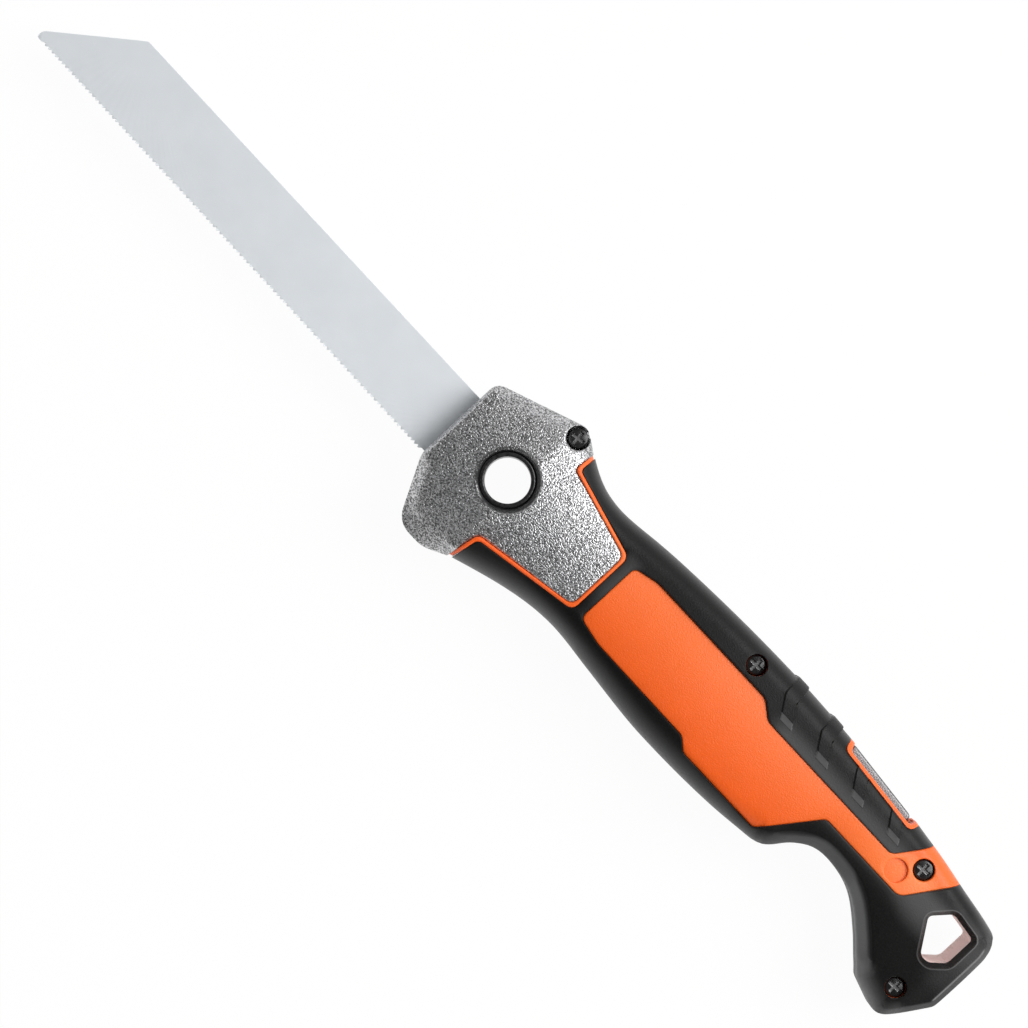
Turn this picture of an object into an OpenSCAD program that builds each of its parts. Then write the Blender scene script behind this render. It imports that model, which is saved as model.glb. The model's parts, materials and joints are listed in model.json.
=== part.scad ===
// Multipurpose hand saw with a replaceable blade, lying on its side.
// +X points to the blade's tip, +Y to the teeth, +Z out of the screw side.
// The origin is the centre of the eyelet in the head, at the blade's mid plane.

/* [Blade] */
// Reach of the blade in front of the eyelet's centre
blade_reach = 138.3; // [100:0.1:180]
// Length of the forked tang behind the eyelet's centre
blade_tail = 13.6; // [11:0.1:14.5]
// Distance from the eyelet's centre to the back edge
blade_back = 7.6; // [7:0.1:8]
// Distance from the eyelet's centre to the tips of the teeth
blade_front = 9.35; // [8:0.05:10]
// Thickness of the blade
blade_t = 1.0; // [0.8:0.1:1.4]
// Spacing of the teeth, 24 to the inch
tooth_pitch = 1.0583; // [0.9:0.0001:2]
// Depth of the teeth
tooth_depth = 0.55; // [0.3:0.05:0.8]
// How far the slanted end leans along the blade
tip_lean = 16.9; // [10:0.1:25]
// Depth of the latch notch in the back edge
latch_depth = 1.9; // [1.2:0.1:2]

/* [Head] */
// Distance from the eyelet's centre to the front face
head_front = 16.75; // [16:0.05:20]
// Distance from the eyelet's centre to the belly shoulder
head_belly = 23.1; // [21:0.1:26]
// Distance from the eyelet's centre to the spine corner
head_spine = 20.2; // [19:0.1:23]
// Half thickness of the head at its crease
head_half_t = 12.2; // [11.8:0.1:14]
// Half thickness of the head at its front
head_front_t = 9.6; // [8.5:0.1:11]
// Width of the bevel round the head
head_bevel = 2.6; // [1.5:0.1:4]
// Height of the head's side walls above the parting plane
head_wall_h = 6.4; // [5:0.1:7.5]
// Distance from the eyelet's centre to the end of the cover's tail
tail_reach = 28.65; // [25:0.05:31]
// Thickness of the cover's tail over the handle
tail_t = 3.0; // [2:0.1:3.5]
// Width of the orange line round the cover's tail
rim_w = 0.85; // [0.6:0.05:1.2]

/* [Eyelet] */
// Radius of the eyelet's bore
eyelet_bore_r = 5.0; // [4:0.1:5.1]
// Wall of the eyelet's tube
eyelet_wall = 0.5; // [0.4:0.05:0.6]
// How far the eyelet's lip stands out from the tube
eyelet_lip = 0.5; // [0.3:0.05:0.8]
// Half length of the eyelet along its bore
eyelet_half_l = 10.6; // [9.8:0.1:11]

/* [Handle] */
// Distance from the eyelet's centre back to the neck
neck_len = 29.9; // [28:0.1:34]
// Distance from the neck to the widest part of the palm
palm_len = 29.8; // [26:0.1:38]
// Distance from the palm to the heel corner
heel_len = 29.8; // [28:0.1:38]
// Distance from the heel corner to the bottom of the finger notch
notch_len = 15.9; // [15:0.1:20]
// Distance from the finger notch to the pommel's shoulder
rise_len = 23.3; // [22:0.1:28]
// Distance from the pommel's shoulder to the butt
pommel_len = 15.7; // [15:0.1:20]
// Belly half width at the neck
neck_belly = 14.1; // [13.6:0.1:16]
// Belly half width at the palm
palm_belly = 16.2; // [15.5:0.1:18]
// Belly half width at the finger notch
notch_belly = 4.85; // [4.4:0.05:6]
// Belly half width at the pommel
pommel_belly = 19.65; // [18.5:0.05:22]
// Spine half width at the neck
neck_spine = 13.4; // [13:0.1:15]
// Spine half width at the back of the hand
back_spine = 16.7; // [16.2:0.1:18]
// Half thickness at the palm
palm_half_t = 13; // [12.2:0.1:15]
// Half thickness at the butt
butt_half_t = 10; // [9.5:0.1:12]
// Thickness of the black overmould
grip_wall = 2.0; // [1.5:0.1:2.2]
// How far the orange panel lies below the overmould
panel_drop = 0.4; // [0.2:0.1:0.8]
// Wall between the overmould and the hollow
shell_wall = 2.2; // [1.8:0.1:3]
// Half height of the hollow in the handle
hollow_h = 8.6; // [7.5:0.1:8.8]
// Height of the chevron ribs over the grip
rib_h = 0.45; // [0.3:0.05:0.8]
// Spacing of the chevron ribs
rib_pitch = 11.1; // [9:0.05:11.5]

/* [Release lever] */
// Thickness of the lever plate
lever_t = 1.5; // [1:0.1:1.8]
// Distance from the neck back to the lever's pivot
pivot_back = 18; // [15:0.5:21]
// Radius of the pivot pin
pivot_r = 1.5; // [1.2:0.1:1.8]
// Length of the thumb tab
tab_len = 19.5; // [16:0.1:20]
// Half width of the thumb tab
tab_half_w = 4.5; // [3.5:0.1:5]

/* [Fasteners] */
// Radius of the screw shanks
screw_r = 1.25; // [1:0.05:1.4]
// Radius of the screw heads
screw_head_r = 2.2; // [2:0.05:2.3]
// Height of the screw heads
screw_head_h = 1.6; // [1.2:0.1:2]
// Radius of the rivets
rivet_r = 1.0; // [0.7:0.05:1.1]

/* [Hidden] */
$fn = 64;

// Running clearance of a fit
fit = 0.05;
// Clearance round what moves freely
loose = 0.3;
// Overlap that lets a cut pass its face
past = 1;
// A length beyond every outline
far = 60;
// Pieces in each rounded corner
arc_steps = 5;

// Places along the handle, measured back from the eyelet
palm_u = neck_len + palm_len;
heel_u = palm_u + heel_len;
notch_u = heel_u + notch_len;
shoulder_u = notch_u + rise_len;
butt_u = shoulder_u + pommel_len;

// Cover's inner corners over the handle
inner_belly = [-4.3, 12.5];
inner_spine = [-8.1, -12.1];

// Outline of the handle: place, half width, slope
grip_front_u = 2;
flare_len = 16;
flare_belly = 2.65;
flare_spine = 3.4;
dip_len = [13, 8, 1.1, 10];
dip_spine = [0.4, 1.05, 1.95];
swell_len = 11.1;
swell_belly = 0.85;
back_len = 14;
ebb_len = 20.3;
ebb_belly = 0.8;
belly_rows = [
    [grip_front_u, head_belly - 2.5, -0.33],
    [neck_len - flare_len, neck_belly + flare_belly, -0.29],
    [neck_len, neck_belly, 0],
    [neck_len + swell_len, neck_belly + swell_belly, 0.08],
    [palm_u, palm_belly, 0],
    [palm_u + ebb_len, palm_belly - ebb_belly, -0.085],
    [heel_u, palm_belly - 1.95, -0.13],
    [heel_u + 3.5, palm_belly - 2.75, -0.6],
    [heel_u + 6.5, notch_belly + 5.7, -1.65],
    [notch_u - 6, notch_belly + 2.1, -0.8],
    [notch_u, notch_belly, 0],
    [notch_u + 10, notch_belly + 2.15, 0.53],
    [shoulder_u - 7, pommel_belly - 8.05, 0.8],
    [shoulder_u - 1.4, pommel_belly - 3.15, 0.78],
    [shoulder_u, pommel_belly - 1.85, 0.25],
    [butt_u - 9.5, pommel_belly, 0.1],
    [butt_u - 5.8, pommel_belly - 1.65, -1.25],
    [butt_u, pommel_belly - 9.9, -1.56]
];
spine_rows = [
    [grip_front_u, head_spine, -0.45],
    [-inner_spine.x + 1.3, head_spine - flare_spine, -0.55],
    [neck_len - dip_len[0], neck_spine + dip_spine[0], -0.18],
    [neck_len - dip_len[1], neck_spine, 0.03],
    [neck_len + dip_len[2], neck_spine + dip_spine[1], 0.13],
    [neck_len + dip_len[3], neck_spine + dip_spine[2], 0.075],
    [palm_u + back_len, back_spine, 0],
    [heel_u + 10, back_spine - 0.95, -0.055],
    [notch_u + 12.6, back_spine - 2.95, -0.1],
    [shoulder_u, back_spine - 4.5, -0.18],
    [butt_u - 3.2, back_spine - 6.6, -0.25],
    [butt_u - 1, back_spine - 9.2, -1.4],
    [butt_u, back_spine - 11.9, -3.2]
];
butt_bevel = 1.5;
thick_rows = [
    [grip_front_u, head_half_t - 0.2, 0],
    [neck_len - 2, head_half_t - 0.8, 0],
    [palm_u, palm_half_t, 0],
    [notch_u + 4, palm_half_t - 1.6, -0.04],
    [butt_u - butt_bevel, butt_half_t, 0],
    [butt_u, butt_half_t - 2, -1.3]
];
// Rounding of the cross-section: reach inwards and height
spine_round = [4.5, 6];
belly_round = [6, 8];
crown = 0.5;
round_angles = [0, 25, 48, 70, 90];
crown_places = [0.25, 0.5, 0.75];
// Stations along the handle are closer together round the finger notch
coarse_step = 6;
fine_step = 3.2;

// Release lever, seen from the screw side
pivot = [-(neck_len + pivot_back), -6];
tab_u = heel_u + 2.3;
tab_end_u = tab_u + tab_len;
tab_sink = 0.2;
tab_show = 1.75;
tab_depth = 6;
tab_cap = 2.3;
lever_gap = 0.6;
lever_w = 1.5;
lever_clear = lever_t / 2 + loose;
spring_x = -(palm_u + 12);
spring_y = [-3.4, 5];
spring_r = 2.2;
spring_wire_r = 0.4;
spring_turns = 6;

// How far the blade's sharp nose would reach before its rounding
nose_over = 1.8;

// Blade clamp in the head
latch_x = 5;
latch_len = 2.8;
latch_bottom = blade_back - latch_depth - 0.2;
tooth_room = 0.7;
plate_t = 1.5;
plate_gap = blade_t / 2 + fit;
plate_top = plate_gap + plate_t;
plate_rear = blade_tail + 1.9;
plate_front = head_front - 1.4;
plate_belly = 12.4;
plate_spine = blade_back + 0.3;
spacer_spine = blade_back + 3;
spacer_rear = latch_x + latch_len + 2.6;
rail_edge = blade_front - tooth_depth + fit;
leaf_t = 0.6;
leaf_half_w = 2.2;
leaf_y = -(blade_back + lever_gap + lever_w + loose);
foot_t = 0.7;
corridor_h = leaf_half_w + foot_t;
foot_x = [-15, -10];
foot_edge = leaf_y + 3.8;
rivet_places = [
    [3 - plate_rear, (rail_edge + plate_belly) / 2],
    [plate_front - 3, (rail_edge + plate_belly) / 2],
    [(spacer_rear + plate_front) / 2, -(blade_back + spacer_spine) / 2]
];
latch_rivet_at = [(foot_x[0] + foot_x[1]) / 2, leaf_y + 1.7];
latch_rivet_depth = 3.4;

// Eyelet
eyelet_r = eyelet_bore_r + eyelet_wall;
lip_r = eyelet_r + eyelet_lip;
lip_t = 0.7;
dish_r = lip_r + 1.6;

// Screws: place, height of the head's seat
screw_reach = 7;
seat_cover = 5.4;
screws = [
    [-3.7, -(head_spine - 3.1), seat_cover],
    [-(palm_u + 4.95), -(back_spine - 4.7), palm_half_t - 4.4],
    [-(shoulder_u - 7.9), -(back_spine - 8.25), butt_half_t - 2.6],
    [-(butt_u - 9.4), pommel_belly - 6.75, butt_half_t - 3.6]
];
head_room_r = 0.2;
cover_room_r = 0.45;
boss_r = screw_r + 1.7;

// Cover's edge over the handle, with the rounding at each corner
crease_x = -4;
belly_lean = 0.17;
spine_lean = 0.085;
zone_belly = [inner_belly.x + belly_lean * (far - inner_belly.y), far, 0];
zone_spine = [inner_spine.x - spine_lean * (far + inner_spine.y), -far, 0];
block_zone = [
    [far, far, 0], zone_belly, [inner_belly.x, inner_belly.y, 0],
    [inner_spine.x, inner_spine.y, 0], zone_spine, [far, -far, 0]
];
cover_zone = [
    [far, far, 0], zone_belly, [inner_belly.x, inner_belly.y, 1.2],
    [-tail_reach, 8, 1.8], [-tail_reach, -6.9, 1.8],
    [inner_spine.x, inner_spine.y, 1.2], zone_spine, [far, -far, 0]
];
head_outline = [
    [head_front, 7.8 - head_spine, 2.2],
    [head_front, blade_front + fit, 1.6],
    [head_front - 7.4, head_belly, 3.4],
    [head_front - 14.6, head_belly, 2],
    [-16, head_belly - 9.7, 0],
    [-16, 7.9 - head_spine, 0],
    [-3.7, -head_spine, 1.7]
];
tail_top = half_t(tail_reach) + 0.35;
tail_seat = tail_top - tail_t;

// Orange panel on the handle
bridge = 2.45;
band_x = [12.25, 1.75, 15.3];
strip_x = [15.3, 11.4];
strip_y = -5.7;
lower_y = -8.6;
panel_front = tail_reach + rim_w + bridge;
panel = [
    [-panel_front, -7.1, 1.6], [-panel_front, 8.5, 1.6], [-(panel_front + 6.5), 9.7, 1],
    [-(palm_u + 5), 9.8, 0.8], [-(palm_u + 7.9), 12.1, 0.8], [-(heel_u - 0.1), 12.1, 0.8],
    [-(heel_u + 9.15), -0.6, 0.8], [-(shoulder_u - 7.6), -0.65, 1.6],
    [-(shoulder_u + band_x[0]), -far / 2, 0], [-(shoulder_u + band_x[1]), -far / 2, 0],
    [-(shoulder_u - band_x[2]), strip_y, 1.2], [-(palm_u + strip_x[0]), strip_y, 1],
    [-(palm_u + strip_x[1]), lower_y, 1], [-(panel_front + 6), lower_y, 1]
];
recess_at = [-(shoulder_u - 12), -4.1];
recess_r = 2.65;
recess_depth = 0.6;

// Notch of the thumb tab
tab_notch_lean = 9.6;
tab_notch = [
    [-(tab_end_u + 0.5 + tab_notch_lean), -far / 2, 0], [-(tab_u - loose), -far / 2, 0],
    [-(tab_u - loose), tab_show - spine(tab_u), 1.1],
    [-(tab_end_u + 0.5), tab_show - spine(tab_end_u), 0.8]
];

// Hang hole in the butt
hang_back = 5.4;
hang_x = [3, 5.2, 6.6, 10.1];
hang_y = [-6.8, -6, -2.6, 1.3, 4.3];
hang_r = 1;
hang_u = butt_u - hang_back;
hang_hole = [
    [hang_x[2] - hang_u, hang_y[0], hang_r], [hang_x[3] - hang_u, hang_y[2], hang_r],
    [hang_x[1] - hang_u, hang_y[4], hang_r], [hang_x[0] - hang_u, hang_y[4], hang_r],
    [-hang_u, hang_y[3], hang_r], [-hang_u, hang_y[1], hang_r]
];
sleeve_wall = 0.9;
sleeve_top = 7.2;

// First chevron rib, from the inner end over the bend to beyond the spine
rib_count = 4;
rib_w = 3.6;
rib_inner_y = -7.8;
rib_bend_y = -12.65;
rib_first_x = -(palm_u + 13.1);
rib_slant = 3.5;

function span(rows, u, i = 0) =
    i >= len(rows) - 2 || u < rows[i + 1].x ? i : span(rows, u, i + 1);
function curve(rows, u) =
    let (i = span(rows, u), a = rows[i], b = rows[i + 1], h = b.x - a.x, t = (u - a.x) / h)
    (2 * t^3 - 3 * t^2 + 1) * a.y + (t^3 - 2 * t^2 + t) * h * a.z
    + (3 * t^2 - 2 * t^3) * b.y + (t^3 - t^2) * h * b.z;
function belly(u) = curve(belly_rows, u);
function spine(u) = curve(spine_rows, u);
function half_t(u) = curve(thick_rows, u);

function unit(v) = v / norm(v);
function xy(p) = [p.x, p.y];
function before(rows, i) = xy(rows[(i + len(rows) - 1) % len(rows)]);
function after(rows, i) = xy(rows[(i + 1) % len(rows)]);
function outward(a, b) = let (d = unit(b - a)) [d.y, -d.x];

// Round each corner of an outline: every row holds a point and its rounding
function soft(rows) = [
    for (i = [0 : len(rows) - 1])
        let (
            p = xy(rows[i]),
            a = p + rows[i].z * unit(before(rows, i) - p),
            b = p + rows[i].z * unit(after(rows, i) - p)
        )
        each rows[i].z == 0 ? [p] : [
            for (k = [0 : arc_steps])
                let (t = k / arc_steps) (1 - t)^2 * a + 2 * t * (1 - t) * p + t^2 * b
        ]
];
// Move each side of an outline outwards
function grow(rows, d) = [
    for (i = [0 : len(rows) - 1])
        let (
            p = xy(rows[i]),
            n = outward(before(rows, i), p),
            m = outward(p, after(rows, i)),
            q = p + d * (n + m) / (1 + n * m)
        )
        [q.x, q.y, rows[i].z]
];

// One half cross-section of the handle, from the spine over the top to the belly
function ring(u, inset) =
    let (
        s = spine(u) - inset,
        b = belly(u) - inset,
        t = half_t(u) - inset,
        sr = spine_round - [inset, inset] / 2,
        br = belly_round - [inset, inset] / 2,
        low = t - crown,
        flat_s = -s + sr.x,
        flat_b = b - br.x
    )
    concat(
        [[-u, -s, 0]],
        [for (a = round_angles) [-u, -s + sr.x * (1 - cos(a)), low - sr.y * (1 - sin(a))]],
        [for (f = crown_places) [-u, flat_s + f * (flat_b - flat_s), t - crown * (2 * f - 1)^2]],
        [for (i = [len(round_angles) - 1 : -1 : 0])
            let (a = round_angles[i]) [-u, b - br.x * (1 - cos(a)), low - br.y * (1 - sin(a))]],
        [[-u, b, 0]]
    );
function stations(inset) = concat(
    [for (u = [grip_front_u : coarse_step : heel_u - coarse_step / 2]) u],
    [for (u = [heel_u : fine_step : butt_u - butt_bevel - inset - fine_step / 2]) u],
    [butt_u - butt_bevel - inset, butt_u - inset]
);

// Upper half of the handle's whole body, drawn in by an inset
module handle_half(inset) {
    places = stations(inset);
    points = [for (u = places) each ring(u, inset)];
    n = len(ring(grip_front_u, inset));
    m = len(places);
    sides = [
        for (i = [0 : m - 2]) for (j = [0 : n - 1])
            let (a = i * n + j, b = i * n + (j + 1) % n) each [[a, a + n, b], [b, a + n, b + n]]
    ];
    front = [for (j = [0 : n - 1]) j];
    rear = [for (j = [n - 1 : -1 : 0]) (m - 1) * n + j];
    polyhedron(points, concat(sides, [front, rear]));
}

// A prism from the parting plane upwards
module prism(points, top = far, bottom = 0) {
    translate([0, 0, bottom]) linear_extrude(top - bottom) polygon(points);
}
module post(at, r, top, bottom = 0) {
    translate([at.x, at.y, bottom]) cylinder(r = r, h = top - bottom);
}
module below() { mirror([0, 0, 1]) children(); }

// Space for the blade clamp, the leaf and the front of the lever, in one half
module clamp_pocket() {
    prism(soft(grow(plate_rows(), fit)), plate_top, -past);
    prism([
        [foot_x[0] - past, leaf_y - past], [inner_spine.x, leaf_y - 3.2],
        [spacer_rear - loose, leaf_y - 3.2], [spacer_rear - loose, -plate_spine],
        [foot_x[1] + past, -plate_spine], [foot_x[1] + past, foot_edge + past],
        [foot_x[0] - past, foot_edge + past]
    ], corridor_h, -past);
    translate([latch_x - tooth_room, -plate_spine - past, -past])
        cube([latch_len + 2 * tooth_room, past + plate_spine - latch_bottom, corridor_h + past]);
}

function plate_rows() = [
    [-plate_rear, -plate_spine, 0], [latch_x - tooth_room, -plate_spine, 0],
    [latch_x - tooth_room, -latch_bottom, 0],
    [latch_x + latch_len + tooth_room, -latch_bottom, 0],
    [latch_x + latch_len + tooth_room, -plate_spine, 0], [spacer_rear, -plate_spine, 0],
    [spacer_rear, -spacer_spine, 0], [plate_front, -spacer_spine, 0],
    [plate_front, plate_belly, 0], [-plate_rear, plate_belly, 0]
];

module head_block() {
    hull() {
        linear_extrude(head_wall_h) intersection() {
            polygon(soft(head_outline));
            polygon(soft(block_zone));
        }
        intersection() {
            linear_extrude(head_half_t) intersection() {
                polygon(soft(grow(head_outline, -head_bevel)));
                polygon(soft(block_zone));
            }
            rotate([90, 0, 0]) linear_extrude(2 * far, center = true) polygon([
                [-far, 0], [-far, head_half_t], [crease_x, head_half_t],
                [head_front - head_bevel, head_front_t], [head_front - head_bevel, 0]
            ]);
        }
    }
}

module cover_tail() {
    rotate([90, 0, 0]) linear_extrude(2 * inner_belly.y, center = true) polygon([
        [crease_x, tail_seat], [crease_x, head_half_t], [-tail_reach, tail_top],
        [-tail_reach, tail_seat]
    ]);
}

module head_cover_body() {
    intersection() {
        head_block();
        prism(soft(block_zone));
    }
    intersection() {
        cover_tail();
        prism(soft(cover_zone));
    }
}

// Cuts that both covers share
module head_cover_cuts() {
    clamp_pocket();
    prism([
        [0, -(blade_back + fit)], [far, -(blade_back + fit)],
        [far, blade_front + fit], [0, blade_front + fit]
    ], plate_gap, -past);
    post([0, 0], eyelet_r + fit, far, -past);
    post([0, 0], lip_r + fit, far, eyelet_half_l - lip_t);
    translate([0, 0, eyelet_half_l - lip_t + 0.3])
        cylinder(r1 = lip_r + fit, r2 = dish_r + fit, h = head_half_t - eyelet_half_l + lip_t);
}

module head_cover_upper() {
    color("gray") difference() {
        head_cover_body();
        head_cover_cuts();
        screw_room(screws[0], cover_room_r);
    }
}

module head_cover_lower() {
    color("gray") below() difference() {
        head_cover_body();
        head_cover_cuts();
        post(screws[0], screw_r + fit, screw_reach + loose, -past);
    }
}

module screw_room(s, room = head_room_r) {
    post(s, screw_r + fit, far, -past);
    post(s, screw_head_r + room, far, s.z);
}

// Hollow of the handle, with the posts that stay in it left out
module hollow_plan() {
    steps = 8;
    front_u = panel_front + 1.3;
    rear_u = heel_u - 1.5;
    us = [for (k = [0 : steps]) front_u + (rear_u - front_u) * k / steps];
    wall = grip_wall + shell_wall;
    difference() {
        polygon(concat(
            [for (u = us) [-u, wall - spine(u)]],
            [for (k = [steps : -1 : 0]) [-us[k], belly(us[k]) - wall]]
        ));
        translate(xy(screws[1])) circle(boss_r);
        translate([spring_x - 4, spring_y[1]]) square([8, far]);
    }
}

module handle_hollow() {
    translate([0, 0, -past]) linear_extrude(lever_clear + past) hollow_plan();
    linear_extrude(hollow_h) difference() {
        hollow_plan();
        translate(pivot) circle(pivot_r + 1.8);
    }
    post(pivot, pivot_r + 0.02, hollow_h + 0.4, -past);
    channel_y = neck_spine - grip_wall - 0.8;
    prism([
        [-(panel_front + 3), -channel_y], [foot_x[0], -channel_y], [foot_x[0], -4],
        [-(panel_front + 3), -1.5]
    ], lever_clear, -past);
    join_u = heel_u - 3;
    prism([
        [-(tab_end_u + 1.2), past - spine(tab_end_u)], [-(tab_u - loose), past - spine(tab_u)],
        [-join_u, grip_wall + shell_wall - spine(join_u)], [-join_u, tab_depth + 8 - spine(join_u)],
        [-(tab_end_u + 1.2), tab_depth + 3.4 - spine(tab_end_u)]
    ], tab_half_w + loose, -past);
}

module shell_body() {
    difference() {
        union() {
            handle_half(grip_wall);
            intersection() {
                handle_half(panel_drop);
                union() {
                    prism(soft(panel), far, -past);
                    prism(soft(grow(cover_zone, rim_w)), far, -past);
                    prism(soft(grow(tab_notch, rim_w)), far, -past);
                }
            }
        }
        prism(soft(block_zone), far, -past);
        prism(soft(cover_zone), far, tail_seat);
        clamp_pocket();
        handle_hollow();
        prism(soft(tab_notch), far, -past);
        prism(soft(grow(hang_hole, sleeve_wall + fit)), far, -past);
    }
}

module shell_upper() {
    color("orangered") difference() {
        shell_body();
        for (i = [1 : 3]) screw_room(screws[i]);
        post(recess_at, recess_r, far, half_t(-recess_at.x) - panel_drop - crown - recess_depth);
    }
}

module shell_lower() {
    color("orangered") below() difference() {
        shell_body();
        for (i = [1 : 3]) post(screws[i], screw_r + fit, screw_reach + loose, -past);
        post(latch_rivet_at, rivet_r + fit, corridor_h + latch_rivet_depth, -past);
    }
}

module rib_prisms() {
    for (k = [0 : rib_count - 1]) {
        x = rib_first_x - k * rib_pitch;
        prism([
            [x - rib_slant, rib_inner_y], [x - rib_slant - rib_w, rib_inner_y],
            [x - rib_w, rib_bend_y], [x - rib_w + 0.6, -far / 2], [x + 0.4, -far / 2], [x, rib_bend_y]
        ], far, -past);
    }
}

module grip_body() {
    difference() {
        union() {
            handle_half(0);
            intersection() {
                handle_half(-rib_h);
                rib_prisms();
            }
        }
        handle_half(grip_wall);
        prism(soft(panel), far, -past);
        prism(soft(grow(cover_zone, rim_w)), far, -past);
        prism(soft(grow(tab_notch, rim_w)), far, -past);
        prism(soft(grow(hang_hole, sleeve_wall + fit)), far, -past);
    }
}

module grip_upper() {
    color("dimgray") difference() {
        grip_body();
        for (i = [1, 3]) screw_room(screws[i]);
    }
}

module grip_lower() {
    color("dimgray") below() grip_body();
}

module blade() {
    root = blade_front - tooth_depth;
    start = head_front + past;
    count = floor((blade_reach - 1.5 - start) / tooth_pitch);
    teeth = [
        for (k = [count - 1 : -1 : 0]) each [
            [start + (k + 0.65) * tooth_pitch, blade_front, 0], [start + k * tooth_pitch, root, 0]
        ]
    ];
    slot_r = eyelet_r + fit;
    color("lightgray") translate([0, 0, -blade_t / 2]) linear_extrude(blade_t) difference() {
        polygon(soft(concat(
            [
                [-blade_tail, -blade_back, 0.8], [blade_reach - tip_lean, -blade_back, 1.2],
                [blade_reach + nose_over, root, 2.6], [start + count * tooth_pitch, root, 0]
            ],
            teeth,
            [[-blade_tail, root, 0.8]]
        )));
        translate([latch_x - loose, -far]) square([latch_len + 2 * loose, far + latch_depth - blade_back]);
        circle(slot_r);
        translate([-far, -slot_r]) square([far, 2 * slot_r]);
    }
}

module guide_plate() {
    difference() {
        prism(soft(plate_rows()), plate_top, plate_gap);
        post([0, 0], eyelet_r + fit, far, -past);
        for (p = rivet_places) post(p, rivet_r + fit, far, -past);
    }
}
module guide_plate_upper() { color("silver") guide_plate(); }
module guide_plate_lower() { color("silver") below() guide_plate(); }

module spacer(low, high) {
    difference() {
        translate([low.x, low.y, -plate_gap]) cube([high.x - low.x, high.y - low.y, 2 * plate_gap]);
        for (p = rivet_places) post(p, rivet_r + fit, far, -far);
    }
}
module blade_rail() {
    color("silver") spacer([-plate_rear, rail_edge], [plate_front, plate_belly]);
}
module mouth_spacer() {
    color("silver") spacer([spacer_rear, -spacer_spine], [plate_front, -(blade_back + fit)]);
}
module plate_rivets() {
    color("darkgray") for (p = rivet_places) post(p, rivet_r, plate_top, -plate_top);
}

module eyelet() {
    color("black") difference() {
        union() {
            post([0, 0], eyelet_r, eyelet_half_l, -eyelet_half_l);
            post([0, 0], lip_r, eyelet_half_l, eyelet_half_l - lip_t);
        }
        post([0, 0], eyelet_bore_r, far, -far);
    }
}
module eyelet_collar() {
    color("black") difference() {
        post([0, 0], lip_r, lip_t - eyelet_half_l, -eyelet_half_l);
        post([0, 0], eyelet_r + 0.02, far, -far);
    }
}

module latch_spring() {
    tooth_tip = latch_depth - loose - blade_back;
    web_end = latch_x + latch_len;
    color("silver") difference() {
        union() {
            prism([
                [foot_x[0], leaf_y - leaf_t], [web_end, leaf_y - leaf_t], [web_end, tooth_tip],
                [latch_x, tooth_tip], [latch_x, leaf_y], [foot_x[0], leaf_y]
            ], leaf_half_w, -leaf_half_w);
            prism([
                [foot_x[0], leaf_y - leaf_t], [foot_x[1], leaf_y - leaf_t],
                [foot_x[1], foot_edge], [foot_x[0], foot_edge]
            ], foot_t - corridor_h, -corridor_h);
        }
        post(latch_rivet_at, rivet_r + fit, far, -far);
    }
}
module latch_rivet() {
    color("darkgray")
        post(latch_rivet_at, rivet_r, -leaf_half_w, -(corridor_h + latch_rivet_depth - loose));
}

module release_lever() {
    front_y = -(blade_back + lever_gap);
    tip_x = latch_x - 0.7;
    in_tab = tab_cap + 2 * fit;
    rear_u = tab_end_u - 0.8;
    color("silver") translate([0, 0, -lever_t / 2]) linear_extrude(lever_t) difference() {
        union() {
            polygon(soft([
                [tip_x, front_y, 0.4], [-blade_tail - 1.4, front_y, 2], [-(neck_len - 8), pivot.y, 3],
                [pivot.x + 6, pivot.y + 2.4, 3], [pivot.x - 6, pivot.y + 3.2, 3],
                [spring_x - 4, pivot.y + 2.2, 3], [-tab_u, tab_depth - spine(tab_u), 2],
                [-rear_u, tab_depth - spine(rear_u), 1], [-rear_u, in_tab - spine(rear_u), 0.6],
                [-(tab_u + 0.4), in_tab - spine(tab_u), 1], [-(heel_u - 1.5), pivot.y - 5, 2],
                [spring_x - 4, pivot.y - 1.6, 3], [pivot.x - 6, pivot.y - 2.6, 3],
                [pivot.x + 6, pivot.y - 3, 3], [-(neck_len - 10), pivot.y - 2.4, 3],
                [-blade_tail + 1.6, front_y - lever_w, 2], [tip_x, front_y - lever_w, 0.4]
            ]));
            translate([spring_x - 0.9, spring_y[0] - past]) square([1.8, 2.8]);
        }
        translate(pivot) circle(pivot_r + fit);
        for (p = tab_rivet_places()) translate(p) circle(rivet_r + fit);
    }
}

function tab_rivet_places() = [
    for (f = [0.25, 0.75]) let (u = tab_u + f * tab_len) [-u, (tab_cap + tab_depth) / 2 - spine(u)]
];

module lever_tab() {
    color("darkgray") difference() {
        prism(soft([
            [-tab_end_u, tab_sink - spine(tab_end_u), 1.1], [-tab_u, tab_sink - spine(tab_u), 0.6],
            [-tab_u, tab_depth - spine(tab_u), 0.6], [-tab_end_u, tab_depth - spine(tab_end_u), 1.1]
        ]), tab_half_w, -tab_half_w);
        prism([
            [-(tab_end_u + past), tab_cap - spine(tab_end_u + past)],
            [-(tab_u - past), tab_cap - spine(tab_u - past)],
            [-(tab_u - past), 0], [-(tab_end_u + past), 0]
        ], lever_t / 2 + fit, -(lever_t / 2 + fit));
        for (p = tab_rivet_places()) post(p, rivet_r + fit, far, -far);
    }
}
module tab_rivets() {
    color("gray") for (p = tab_rivet_places()) post(p, rivet_r, tab_half_w - 0.1, 0.1 - tab_half_w);
}

module lever_pivot_pin() {
    color("silver") post(pivot, pivot_r, hollow_h + 0.3, -(hollow_h + 0.3));
}

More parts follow.
